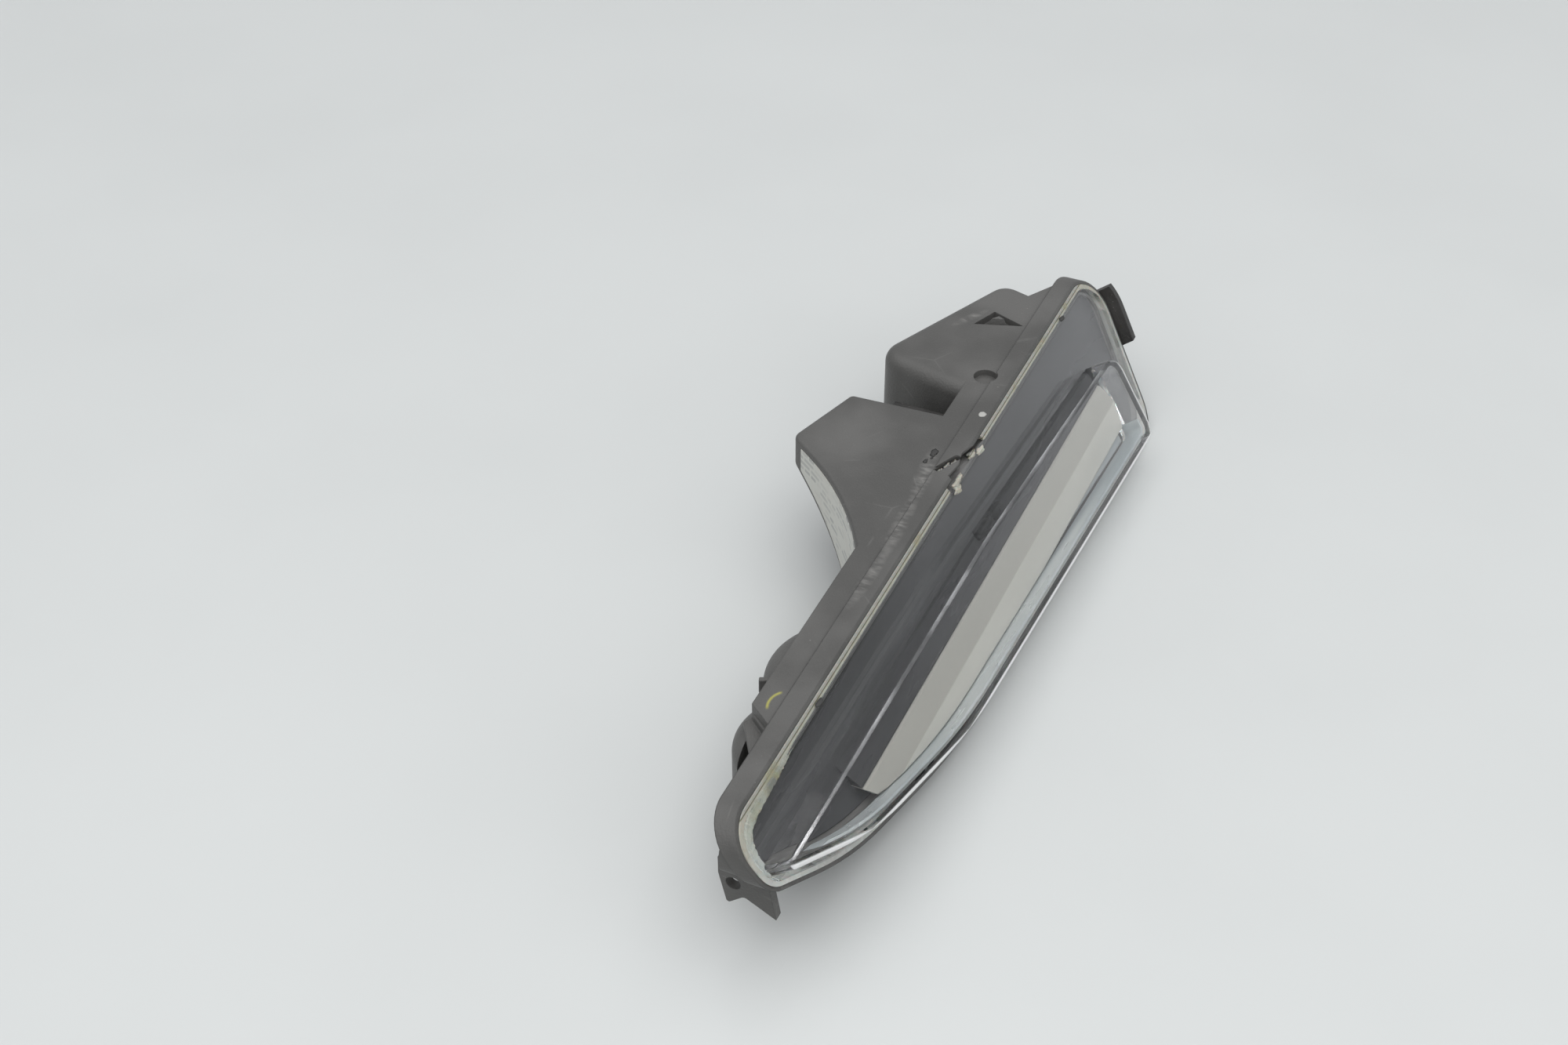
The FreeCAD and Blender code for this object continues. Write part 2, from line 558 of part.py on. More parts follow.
def insert_holes():
    return [round_bar(f"insert_hole_{k}", "insert_radius + press_gap", "insert_depth + wall",
                      (Z_AXIS, "0", (x, y, f"{z} - wall"))) for k, x, y, z in insert_places()]


def top_marks():
    """Locator recess, slot, torn stretch of the rim and the pocket of a broken clip."""
    locator = round_bar("locator_recess", "locator_radius", "run_past",
                        (Z_AXIS, "0", ("locator_x", "locator_y", "top_z - locator_depth")))
    slot_plan = outline("slot_plan", (Z_AXIS, "slot_turn", ("slot_x", "slot_y", "top_z - slot_depth")), box_corners(
        "-slot_length / 2", "slot_length / 2", "-slot_width / 2", "slot_width / 2", "slot_end_radius"))
    tear_plan = outline("tear_plan", on_plan("top_z - tear_depth"), [
        ("tear_near_x", "lens_top_y - tear_reach", None),
        ("tear_far_x", "lens_top_y - tear_reach", None),
        ("tear_far_x - wall", "lens_top_y + tear_far_bite", None),
        ("tear_far_x - 4 * wall", "lens_top_y + tear_high_bite", None),
        ("tear_near_x + 4 * wall", "lens_top_y + tear_low_bite", None),
        ("tear_near_x + wall", "lens_top_y + tear_near_bite", None),
    ])
    pocket_plan = outline("pocket_plan", on_plan("top_z - pocket_depth"), pocket_corners("0"))
    return [locator, prism("slot_cut", slot_plan, UP, "run_past"), prism("tear_cut", tear_plan, UP, "run_past"),
            prism("pocket_cut", pocket_plan, UP, "run_past")]


def pocket_corners(inward):
    return [
        (f"pocket_near_x + ({inward})", f"pocket_rear_y - ({inward})", None),
        ("pocket_tip_x", f"pocket_tip_y + 2 * ({inward})", None),
        (f"pocket_far_x - ({inward})", f"pocket_rear_y - pocket_slant - ({inward})", None),
    ]


def vent_hole():
    return round_bar("vent_hole", "vent_stem_radius + fit_gap", "far_lobe_wall + 2 * wall",
                     (Z_AXIS, "0", ("vent_x", "vent_y", "far_lobe_low_z - wall")))


SCREW_COUNT = 3
BOARD_LOW = "(lens_top_z - belly_down * cos(lens_lean) + board_clear)"
BOARD_TOP = f"({BOARD_LOW} + board_height)"
SCREW_Z = f"({BOARD_LOW} + screw_rise)"
LED_Z = f"({BOARD_LOW} + led_rise)"
SCREW_PITCH = f"((board_far_x - board_near_x - 2 * screw_margin) / {SCREW_COUNT - 1})"
BOARD_REAR = "board_front_y + board_wall"
SINK_REAR = f"{BOARD_REAR} + sink_plate"


def screw_x(k):
    return f"board_near_x + screw_margin + {SCREW_PITCH} * {k}"


def board_bosses():
    """Posts from the rear wall to the heat sink, each with a screw hole."""
    bosses = []
    for k in range(SCREW_COUNT):
        rear = "trough_rear_y - wall / 2"
        post = round_bar(f"boss_{k}", "boss_radius", f"{rear} - ({SINK_REAR})",
                         (X_AXIS, "90", (screw_x(k), rear, SCREW_Z)))
        web = outline(f"boss_web_outline_{k}", on_side(f"{screw_x(k)} - boss_radius / 3"), box_corners(
            f"{SINK_REAR} + fin_reach", rear, SCREW_Z, "top_z - wall"))
        post = fuse(f"webbed_boss_{k}", post, prism(f"boss_web_{k}", web, ALONG, "boss_radius * 2 / 3"))
        hole = round_bar(f"boss_hole_{k}", "screw_radius + screw_gap", "screw_bite",
                         (X_AXIS, "90", (screw_x(k), f"{SINK_REAR} + screw_bite", SCREW_Z)))
        bosses.append(cut(f"bored_boss_{k}", post, hole))
    return bosses


LEG_RUN = "(channel_depth - leg_gap) / cos(lens_lean)"


def outer_lens():
    """Clear cover: skin, leg in the channel, and the raised hollow bar with rounded edges."""
    skin = prism("lens_skin", lens_edge, REAR, "(lens_wall - lens_proud) / cos(lens_lean)",
                 back="lens_proud / cos(lens_lean)")
    leg = cut("lens_leg", prism("lens_leg_outer", lens_edge, REAR, LEG_RUN),
              prism("lens_leg_core", leg_inside, REAR, f"2 * ({LEG_RUN})"))
    bar_plan = outline("bar_plan", on_lens("lens_proud"), [
        ("bar_near_x", "-bar_near_top_down", "bar_tip_round"),
        ("bar_near_x", "-bar_near_low_down", "bar_tip_round"),
        ("bar_shoulder_x", "-bar_shoulder_down", "shoulder_radius"),
        ("bar_belly_x", "-bar_belly_down", "belly_radius"),
        ("bar_far_low_x", "-bar_far_low_down", "bar_end_round"),
        ("bar_far_top_x", "-bar_far_top_down", "bar_end_round"),
        ("bar_crest_x", "-bar_crest_down", "belly_radius"),
    ])
    bar = prism("bar_block", bar_plan, OUT, "bar_height", draft="-bar_draft")
    doc.recompute()
    rounded = round_front_edges("bar_rounded", bar, "lens_proud + bar_height", "bar_edge_round")
    inside = inset("bar_inside", bar_plan, "lens_wall")
    hollow = prism("bar_hollow", inside, OUT, "bar_height - lens_wall", draft="-bar_draft")
    under = prism("bar_under", inside, IN, "2 * lens_wall")
    return cut("outer_lens", fuse("lens_body", skin, leg, rounded), hollow, under)


def round_front_edges(name, base, out, radius):
    """Round the edges that lie on the plane so far out of the lens plane."""
    y, z = (size(part) for part in lens_point("0", out))
    lean = math.radians(SIZES["lens_lean"])
    normal = FreeCAD.Vector(0, -math.cos(lean), math.sin(lean))
    level = normal.dot(FreeCAD.Vector(0, y, z))
    flat = [k for k, edge in enumerate(base.Shape.Edges, start=1)
            if all(abs(normal.dot(vertex.Point) - level) < 0.01 for vertex in edge.Vertexes)]
    rounding = doc.addObject("Part::Fillet", name)
    rounding.Base = base
    rounding.Edges = [(k, size(radius), size(radius)) for k in flat]
    return rounding


def lens_seal_bead():
    """Bead of adhesive round the lens, lost along the torn stretch."""
    ring = cut("bead_ring", prism("bead_outer", channel_edge, REAR, LEG_RUN, back="lens_proud / 2"),
               prism("bead_core", lens_edge, REAR, "run_past", back="run_past"))
    gap = outline("bead_gap", on_plan("top_z - 4 * tear_depth"), box_corners(
        "tear_near_x - wall", "tear_far_x + wall", "lens_top_y - 4 * tear_reach", "lens_top_y + 4 * tear_reach"))
    return cut("lens_seal_bead", ring, prism("bead_gap_cut", gap, UP, "run_past"))


clear_chamber = lamp_chamber("clear_chamber", clear_edge, "wall + fit_gap")
WINDOW_TOP = lens_point("guide_top_down", "guide_top_out")[1]


def side_section(name, points, near_x, far_x):
    """Closed side-view section of (y, z) points, run along the lamp."""
    return prism(name, outline(f"{name}_section", on_side(near_x), [(y, z, None) for y, z in points]),
                 ALONG, f"({far_x}) - ({near_x})")


def inner_bezel():
    """Dark panel: a flat plate under the lens, with a ramp that rises to the window of the light guide."""
    plate = side_section("bezel_plate", [
        lens_point("0", "-bezel_set"), lens_point("run_past", "-bezel_set"),
        lens_point("run_past", "-bezel_set - bezel_wall"), lens_point("0", "-bezel_set - bezel_wall")],
        "near_tip_x", "far_top_x")
    ramp = side_section("bezel_ramp", [
        lens_point("bezel_bend_down", "-bezel_set"), lens_point("bezel_foot_down", "bezel_foot_out"),
        lens_point("bezel_foot_down", "-bezel_set - bezel_wall"),
        lens_point("bezel_bend_down", "-bezel_set - bezel_wall")], "guide_near_x", "guide_far_x")
    panel = fuse("bezel_panel", common("bezel_plate_fitted", plate, clear_chamber), ramp)
    return cut("inner_bezel", panel, guide_ends("bezel_window", "fit_gap"))


def guide_ends(name, margin):
    """Window that the light guide fills, seen from the front, run right through the lamp."""
    window = outline(f"{name}_outline", on_front("run_past"), [
        (f"guide_near_x - ({margin})", f"{WINDOW_TOP} + ({margin})", None),
        (f"guide_near_low_x - ({margin})", "-wall", None),
        (f"guide_far_low_x + ({margin})", "-wall", None),
        (f"guide_far_x + ({margin})", f"{WINDOW_TOP} + ({margin})", None),
    ])
    return prism(name, window, FRONT, "2 * run_past")


def light_guide():
    """White bar with two front facets that meet in a ridge, and a flat rear face for the light to enter."""
    low = lens_point("guide_low_down", "guide_low_out")
    top = lens_point("guide_top_down", "guide_top_out")
    ridge = lens_point("guide_ridge_down", "guide_ridge_out")
    run = side_section("guide_run", [low, ("guide_rear_y", low[1]), ("guide_rear_y", top[1]), top, ridge],
                       "near_tip_x", "far_top_x")
    bar_limit = inset("guide_bar_edge", doc.getObject("bar_plan"), "lens_wall + strip_wall + 3 * fit_gap")
    return common("light_guide", run, clear_chamber, guide_ends("guide_window", "0"),
                  prism("guide_limit", guide_edge, REAR, "run_past", back="run_past"),
                  prism("guide_bar_limit", bar_limit, OUT, "run_past", back="run_past"))


def lower_reflector():
    """Silver shelf along the lower edge of the lamp chamber, and a strip that lines the lens bar's lower wall."""
    ring = cut("reflector_ring", prism("reflector_outer", clear_edge, REAR, "reflector_set + reflector_wall"),
               prism("reflector_front", clear_edge, REAR, "reflector_set"),
               prism("reflector_core", reflector_inside, REAR, "run_past", back="run_past"))
    shelf = common("reflector_shelf", ring, clear_chamber, guide_ends("reflector_window", "0"))
    bar_plan = doc.getObject("bar_plan")
    lining = cut("bar_lining",
                 prism("bar_lining_outer", inset("lining_outside", bar_plan, "lens_wall + 2 * fit_gap"), OUT,
                       "strip_height"),
                 prism("bar_lining_core", inset("lining_inside", bar_plan, "lens_wall + 2 * fit_gap + strip_wall"),
                       OUT, "strip_height"))
    lower_side = outline("lower_side", on_lens(), [
        ("strip_near_x", "-strip_near_down", None),
        ("strip_near_x", "-run_past", None),
        ("strip_far_x", "-run_past", None),
        ("strip_far_x", "-strip_far_down", None),
        ("strip_belly_x", "-strip_belly_down", None),
        ("strip_shoulder_x", "-strip_shoulder_down", None),
    ])
    strip = common("reflector_strip", lining, prism("lower_side_run", lower_side, OUT, "run_past"))
    return group("lower_reflector", shelf, strip)


def board_outline(body, name, y):
    return body_outline(body, name, "XZ_Plane", f"-({y})",
                        box_corners("board_near_x", "board_far_x", BOARD_LOW, BOARD_TOP, "fit_gap * 3"))


def bore_screws(name, plate):
    return cut(name, plate, *[round_bar(f"{name}_hole_{k}", "screw_radius + screw_gap", "run_past",
                                        (X_AXIS, "90", (screw_x(k), "run_past / 2", SCREW_Z)))
                              for k in range(SCREW_COUNT)])


def led_board():
    body = doc.addObject("PartDesign::Body", "led_board_plate")
    pad(body, "led_board_pad", board_outline(body, "led_board_outline", "board_front_y"), "board_wall", reverse=True)
    return bore_screws("led_board", body)


def row_pattern(body, feature, length, count):
    """Repeat a feature along X, evenly over a length."""
    pattern = body.newObject("PartDesign::LinearPattern", f"{feature.Name}_row")
    pattern.Originals = [feature]
    pattern.Direction = (plane(body, "X_Axis"), [""])
    bind(pattern, Length=length, Occurrences=count)
    body.Tip = pattern
    return pattern


def leds():
    body = doc.addObject("PartDesign::Body", "leds")
    body.AllowCompound = True
    first = "board_near_x + led_margin"
    chip = body_outline(body, "led_outline", "XZ_Plane", "-board_front_y", box_corners(
        f"{first} - led_side / 2", f"{first} + led_side / 2", f"{LED_Z} - led_side / 2", f"{LED_Z} + led_side / 2"))
    row_pattern(body, pad(body, "led_pad", chip, "led_height"), "board_far_x - board_near_x - 2 * led_margin",
                "led_count")
    return body


def heat_sink():
    body = doc.addObject("PartDesign::Body", "heat_sink_plate")
    pad(body, "sink_pad", board_outline(body, "sink_outline", BOARD_REAR), "sink_plate", reverse=True)
    first = "board_near_x + fin_margin"
    fin = body_outline(body, "fin_outline", "XZ_Plane", f"-({SINK_REAR}) + fit_gap", box_corners(
        f"{first} - fin_wall / 2", f"{first} + fin_wall / 2", BOARD_LOW, f"{BOARD_LOW} + fin_height"))
    blade = pad(body, "fin_pad", fin, "fin_reach + fit_gap", reverse=True)
    row_pattern(body, blade, "board_far_x - board_near_x - 2 * fin_margin", "fin_count")
    return bore_screws("heat_sink", body)


def screw(name, shank, frame):
    """Pan-head screw whose shank points along the frame's up direction, with the head below it."""
    profile = [
        ("0", "-screw_head_height", None),
        ("screw_head_radius", "-screw_head_height", "screw_head_round"),
        ("screw_head_radius", "0", None),
        ("screw_radius", "0", None),
        ("screw_radius", shank, None),
        ("0", shank, None),
    ]
    body = turned(name, profile, "0", "0")
    set_frame(body, frame)
    return body


def board_screws():
    shank = "board_wall + sink_plate + screw_bite - 2 * fit_gap"
    return group("board_screws", *[screw(f"board_screw_{k}", shank,
                                         (X_AXIS, "-90", (screw_x(k), "board_front_y", SCREW_Z)))
                                   for k in range(SCREW_COUNT)])


BOARD_RISE = "chamber_depth - post_height - driver_wall"


def driver_board():
    plate = driver_rect("driver_board_outline", BOARD_RISE, "chamber_half_x - fit_gap", "chamber_half_y - fit_gap",
                        "chamber_round")
    return prism("driver_board", plate, INTO_LOBE, "driver_wall")


def hung(height):
    """Rise at which a component of that height hangs from the driver board."""
    return f"{BOARD_RISE} - ({height})"


def driver_choke():
    place = on_driver(hung("choke_height"), "choke_x", "choke_y")
    core = round_bar("choke_core", "choke_radius", "choke_height", place)
    eye = round_bar("choke_eye", "choke_radius / 3", "choke_height / 2", place)
    return cut("driver_choke", core, eye)


def driver_capacitors():
    cans = [round_bar(f"capacitor_{k}", "capacitor_radius", "capacitor_height",
                      on_driver(hung("capacitor_height"), "capacitor_x", f"{side} * capacitor_spread"))
            for k, side in enumerate((-1, 1))]
    return group("driver_capacitors", *cans)


def driver_chips():
    chips = []
    for k in range(2):
        flat = outline(f"chip_outline_{k}", on_driver(hung("chip_height"), f"chip_x + {k} * chip_step", "chip_y"),
                       box_corners("-chip_side / 2", "chip_side / 2", "-chip_side / 2", "chip_side / 2"))
        chips.append(prism(f"chip_{k}", flat, INTO_LOBE, "chip_height"))
    return group("driver_chips", *chips)


def driver_cover():
    plate = prism("cover_plate", driver_rect("cover_outline", "-cover_wall", "cover_half_x", "cover_half_y",
                                             "cover_round"), INTO_LOBE, "cover_wall")
    holes = [round_bar(f"cover_bore_{k}", "screw_radius + screw_gap", "4 * cover_wall",
                       on_driver("-2 * cover_wall", x=f"{side} * cover_screw_x")) for k, side in enumerate((-1, 1))]
    return cut("driver_cover", plate, *holes)


def cover_screws():
    shank = "cover_wall + screw_bite - 2 * fit_gap"
    return group("cover_screws", *[screw(f"cover_screw_{k}", shank,
                                         on_driver("-cover_wall", x=f"{side} * cover_screw_x"))
                                   for k, side in enumerate((-1, 1))])


PLUG_Z = "(bridge_top_z + plug_height / 2)"


def plug_rect(name, y, half_x, half_z, radius=None):
    return outline(name, on_front(y), box_corners(f"plug_x - ({half_x})", f"plug_x + ({half_x})",
                                                  f"{PLUG_Z} - ({half_z})", f"{PLUG_Z} + ({half_z})", radius))


def pin_prisms(name, y, length, margin):
    """One flat blade for each pin, side by side."""
    blades = []
    for k in range(int(SIZES["pin_count"])):
        middle = f"plug_x + pin_pitch * ({k} - (pin_count - 1) / 2)"
        blade = outline(f"{name}_outline_{k}", on_front(y), box_corners(
            f"{middle} - pin_width / 2 - ({margin})", f"{middle} + pin_width / 2 + ({margin})",
            f"{PLUG_Z} - pin_wall / 2 - ({margin})", f"{PLUG_Z} + pin_wall / 2 + ({margin})"))
        blades.append(prism(f"{name}_{k}", blade, REAR, length))
    return blades


def connector_shroud():
    """Socket that faces the rear, standing on the bridge between the lobes."""
    block = prism("plug_block", plug_rect("plug_outline", "trough_rear_y", "plug_width / 2", "plug_height / 2",
                                          "plug_round"), REAR, "plug_length")
    room = prism("plug_room", plug_rect("plug_inside", "trough_rear_y + plug_base", "plug_width / 2 - plug_wall",
                                        "plug_height / 2 - plug_wall"), REAR, "plug_length")
    return cut("connector_shroud", block, room, *pin_prisms("pin_slot", "trough_rear_y + plug_wall", "plug_base",
                                                            "press_gap"))


def connector_pins():
    return group("connector_pins", *pin_prisms("pin", "trough_rear_y + plug_wall",
                                               "plug_base - plug_wall + pin_reach", "0"))


def breather_cap():
    return turned("breather_cap", [
        ("0", "-vent_height", None),
        ("vent_radius", "-vent_height", "vent_round"),
        ("vent_radius", "0", None),
        ("vent_stem_radius", "0", None),
        ("vent_stem_radius", "far_lobe_wall", None),
        ("0", "far_lobe_wall", None),
    ], "vent_x", "vent_y", "far_lobe_low_z")


def fixing_inserts():
    bushes = []
    for k, x, y, z in insert_places():
        bush = round_bar(f"insert_{k}", "insert_radius", "insert_depth", (Z_AXIS, "0", (x, y, z)))
        bore = round_bar(f"insert_bore_{k}", "insert_bore", "3 * insert_depth",
                         (Z_AXIS, "0", (x, y, f"{z} - insert_depth")))
        bushes.append(cut(f"bored_insert_{k}", bush, bore))
    return group("fixing_inserts", *bushes)


def far_end_clip():
    """Strap that wraps the far end of the rim and stands proud of the lens."""
    shell = cut("strap_shell",
                prism("strap_outer", inset("strap_outside", rim, "-strap_gap - strap_wall"), OUT, "strap_front",
                      back="strap_back"),
                prism("strap_core", inset("strap_inside", rim, "-strap_gap"), OUT, "run_past", back="run_past"),
                prism("strap_clear", rim, REAR, "rim_band_depth"))
    reach = outline("strap_reach", on_lens("run_past"), [
        ("strap_near_x", "-strap_top_down", None),
        ("strap_near_x", "-strap_low_down", None),
        ("far_top_x + run_past", "-strap_low_down", None),
        ("far_top_x + run_past", "-strap_top_down", None),
    ])
    return common("far_end_clip", shell, prism("strap_ends", reach, IN, "2 * run_past"))


def rating_label():
    """Sticker on the curved side of the near lobe."""
    lobe_plan = outline("label_base", on_plan("0"), LOBE_CORNERS)
    outer = prism("label_outer", lobe_plan, UP, "top_z")
    bind(outer, Placement__Base__x="-label_thickness * sin(label_turn)",
         Placement__Base__y="label_thickness * cos(label_turn)")
    skin = cut("label_skin", outer, prism("label_core", lobe_plan, UP, "run_past"))
    patch = outline("label_patch", on_plan("0"), [
        ("label_near_x - 2 * wall", "label_near_y + 2 * wall", None),
        ("label_near_x + 2 * wall", "label_near_y - 2 * wall", None),
        ("label_rear_x + 2 * wall", "label_rear_y - 2 * wall", None),
        ("label_rear_x - 2 * wall", "label_rear_y + 2 * wall", None),
    ])
    low = "lobe_edge_z + label_margin - tan(lobe_slope) * lobe_edge_y"
    high = "top_z - lobe_edge_round - label_margin / 2"
    height = side_section("label_height", [("0", high), ("0", low), (f"({high} - ({low})) / tan(lobe_slope)", high)],
                          "-run_past", "run_past")
    return common("rating_label", skin, prism("label_patch_run", patch, UP, "run_past"), height)


def broken_lug():
    """Ragged stub left in the clip's pocket."""
    root = outline("lug_root", on_plan("top_z - pocket_depth"), pocket_corners("wall"))
    return prism("broken_lug", root, UP, "lug_height", draft="-lens_lean / 3")


def driver_gasket():
    return ring_of_gasket("driver_gasket", "gasket_depth", "0")


PIECES = (housing, outer_lens, lens_seal_bead, inner_bezel, light_guide, lower_reflector, led_board, leds, heat_sink,
          board_screws, driver_board, driver_choke, driver_capacitors, driver_chips, driver_gasket, driver_cover,
          cover_screws, connector_shroud, connector_pins, breather_cap, fixing_inserts, far_end_clip, rating_label,
          broken_lug)


def main():
    built = {make.__name__: make() for make in PIECES}
    doc.recompute()
    failed = [thing.Name for thing in doc.Objects if {"Invalid", "Error"} & set(thing.State)]
    failed += [name for name, thing in built.items() if thing.Shape.isNull() or not thing.Shape.isValid()]
    if failed:
        raise RuntimeError(f"these did not build: {failed}")
    os.makedirs("parts", exist_ok=True)
    for name, thing in built.items():
        thing.Label = name
        thing.Shape.exportStep(f"parts/{name}.step")
        box = thing.Shape.BoundBox
        print(name, len(thing.Shape.Solids), round(thing.Shape.Volume), [round(v, 1) for v in (
            box.XMin, box.XMax, box.YMin, box.YMax, box.ZMin, box.ZMax)])


main()
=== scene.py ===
"""Looks for a leaf-shaped auxiliary driving light that lies on a pale table, laid out as an add-on."""
import math

import bmesh
import bpy
from bpy.props import FloatProperty, FloatVectorProperty, PointerProperty
from mathutils import Matrix, Vector, noise


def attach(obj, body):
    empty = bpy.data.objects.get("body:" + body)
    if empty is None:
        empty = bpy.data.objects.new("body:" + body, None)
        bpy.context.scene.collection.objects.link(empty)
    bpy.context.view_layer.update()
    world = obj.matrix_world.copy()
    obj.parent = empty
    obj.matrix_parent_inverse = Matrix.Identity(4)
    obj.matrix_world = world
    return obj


bl_info = {
    "name": "Driving light looks",
    "version": (1, 0, 0),
    "blender": (4, 5, 0),
    "location": "View3D > Sidebar > Lamp",
    "description": "Finishes, damage and stage of an auxiliary driving light",
    "category": "Object",
}

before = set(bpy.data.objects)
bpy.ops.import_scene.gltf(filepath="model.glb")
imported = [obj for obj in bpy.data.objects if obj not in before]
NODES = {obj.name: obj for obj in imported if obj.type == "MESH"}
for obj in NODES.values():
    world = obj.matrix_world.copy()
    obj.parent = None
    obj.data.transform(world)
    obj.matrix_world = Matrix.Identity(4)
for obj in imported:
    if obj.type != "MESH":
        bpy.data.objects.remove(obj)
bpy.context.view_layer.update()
MM = 0.001

# Slope of the lens: its upper edge in millimetres, the way down it and the way out of it
LENS_TOP = Vector((0, 2.0, 43.0))
LENS_DOWN = Vector((0, -0.636, -0.772))
LENS_OUT = Vector((0, -0.772, 0.636))
# Lean of the lens, and of the panel's ramp under it, in degrees about X
LENS_LEAN = 50.5
RAMP_LEAN = 34.0
# Ridge between the facets of the light guide, in millimetres down the lens
GUIDE_RIDGE = 33.0
# Lower and far sides of the lens bar: a place along and down the lens, and the way in from that side
BAR_SIDES = (
    ((-146, 15.2), (0.451, -0.893)),
    ((-115.5, 30.6), (0.206, -0.979)),
    ((111, 49.6), (0.042, -0.999)),
    ((111, 49.6), (-0.965, -0.264)),
)
# Front edge of the lens bar: where the painted highlight starts and where it is full, in millimetres out of
# the lens
EDGE_HIGHLIGHT_START = 8.8
EDGE_HIGHLIGHT_FULL = 9.4

# Rubbed places on the housing: centre and radii in millimetres, turn in degrees
SCUFFS = (
    ((14, 12, 45), (17, 3.2, 3), 8), ((-12, 9.6, 45), (20, 3.0, 3), 4), ((-40, 8.9, 45), (17, 2.6, 3), -2),
    ((4, 48, 45), (7, 1.2, 3), 60), ((104, 30, 44), (9, 2.0, 4), -30), ((-118, 1, 44), (12, 1.5, 3), 5),
)
# Crayon mark, given as the scuffs are: the round that it is an arc of, and the side where it shows
CHALK_ROUND = ((-98.0, 10.5, 43), (7, 5, 7), 0)
CHALK_SIDE = ((-96.5, 14.2, 43), (6, 3, 7), 0)

# Glue lumps in the tear: place in millimetres, and share of the largest lump
GLUE_LUMPS = (
    (19.5, 8.6, 43.9, 0.7), (22.3, 7.4, 44.1, 0.8), (25.4, 6.2, 43.9, 0.7), (17.0, 2.2, 42.8, 0.9),
    (15.2, 0.9, 42.2, 0.8), (20.5, 2.6, 42.8, 0.7), (33.0, 3.2, 43.0, 0.9), (36.8, 1.5, 42.6, 0.8),
)
# Run of the squeezed adhesive at the near tip, which also paints the bright highlight of the lens's thick
# edge there: along the lens and down it, and its step, in millimetres
TIP_GLUE_AND_HIGHLIGHT = (
    (-108, 1.3), (-123, 1.1), (-134.5, 1.8), (-140, 3.1), (-142.8, 5.6), (-144.3, 9.6), (-144.6, 12.8),
    (-143.4, 17.0),
)
TIP_STEP = 1.1
# Flat dark patches of painted shade for the torn pits on the housing's top: place and half length in
# millimetres, and the level that they lie at
TORN_PIT_SHADES = ((27.0, 13.5, 2.1), (21.6, 14.4, 1.3), (24.2, 13.2, 0.8))
PIT_LEVEL = 45.0
# Gusset plates: lower and upper level, and corners seen from above, in millimetres
GUSSETS = (
    (37.0, 39.6, ((-98.0, 16.8), (-103.4, 19.6), (-115.0, 12.1), (-104.6, 9.0))),
    (37.0, 42.0, ((-100.6, 16.0), (-102.0, 17.4), (-108.5, 9.4), (-107.0, 9.0))),
    (36.0, 41.0, ((-84.0, 17.0), (-85.6, 17.0), (-88.0, 22.0), (-86.4, 22.6))),
)

# Ways to the brighter and dimmer sides around, which the far end and the near half of the lens mirror
BRIGHT_SIDE = Vector((0.9, -0.42, 0.1)).normalized()
DIM_SIDE = Vector((0.6, -0.78, 0.18)).normalized()
SKY_TINT = "#eef1f4"
SKY_STRENGTH = 0.55
# Soft lights: name, place and side in metres, power in watts, all turned to the middle of the lamp
LIGHTS = (
    ("sky panel", (-0.05, 0.2, 1.7), 2.6, 24.5),
    ("side panel", (-1.3, -0.5, 1.1), 0.9, 4),
    ("front panel", (-0.25, -1.2, 1.1), 1.8, 6),
    ("spot", (0.1, -0.3, 1.6), 0.06, 0.3),
)
LAMP_MIDDLE = Vector((0, 0, 0.03))
# Camera: its place in metres and the way that it looks
EYE = (-0.4955, -0.1690, 0.4626)
AHEAD = Vector((0.709, 0.3186, -0.629))


def linear(hex_colour):
    """Linear red, green, blue and alpha of an sRGB hex colour."""
    parts = [int(hex_colour[k:k + 2], 16) / 255 for k in (1, 3, 5)]
    return (*[p / 12.92 if p <= 0.04045 else ((p + 0.055) / 1.055) ** 2.4 for p in parts], 1.0)


def colour(name, description, hex_colour):
    return FloatVectorProperty(name=name, description=description, subtype="COLOR", size=4, min=0, max=1,
                               default=linear(hex_colour))


class LampLook(bpy.types.PropertyGroup):
    """Colours and sizes of the lamp that a user would change."""
    housing: colour("Housing", "Moulded dark grey plastic", "#4d4c4a")
    housing_dust: colour("Housing dust", "Dust and handling marks on the housing", "#605f5d")
    scuff: colour("Scuff", "Whitened plastic where something rubbed", "#8a8885")
    chalk: colour("Chalk", "Yellow-green crayon mark", "#a7a352")
    clip: colour("Clip", "Black strap and hidden fittings", "#2a2928")
    bezel: colour("Bezel", "Dark grey inner panel", "#343435")
    bezel_flow: colour("Bezel flow marks", "Darker marks along the inner panel", "#272728")
    # painted shade along the panel's upper edge, under the bead
    bezel_edge_shade: colour("Bezel edge shade", "Painted shade along the inner panel's upper edge", "#111110")
    # painted light: the guide's two facets take a shaded and a lit colour, the upper facet darker and the
    # lower one paler
    guide: colour("Guide", "White light guide, upper facet", "#8e8d87")
    guide_lower_lit: colour("Guide, lower facet lit", "White light guide, lower facet", "#b4b3ac")
    reflector: colour("Reflector", "Silver strip under the guide", "#c6caca")
    bead: colour("Bead", "Milky adhesive", "#9b9a93")
    # painted shade of the groove along the middle of the bead
    bead_groove_shade: colour("Bead groove shade", "Dark line along the middle of the adhesive", "#64624f")
    bead_old: colour("Aged bead", "Yellowed adhesive", "#938e6e")
    label: colour("Label", "Paper label", "#c6c6bf")
    label_field: colour("Label field", "Plain printed field", "#88898a")
    floor: colour("Floor", "Pale table", "#d0d2d1")
    paint_dot_radius: FloatProperty(name="Paint dot", description="Radius of the paint dot on top",
                                    default=1.5 * MM, unit="LENGTH")
    lump_radius: FloatProperty(name="Glue lump", description="Radius of the largest glue lump in the tear",
                               default=1.7 * MM, unit="LENGTH")


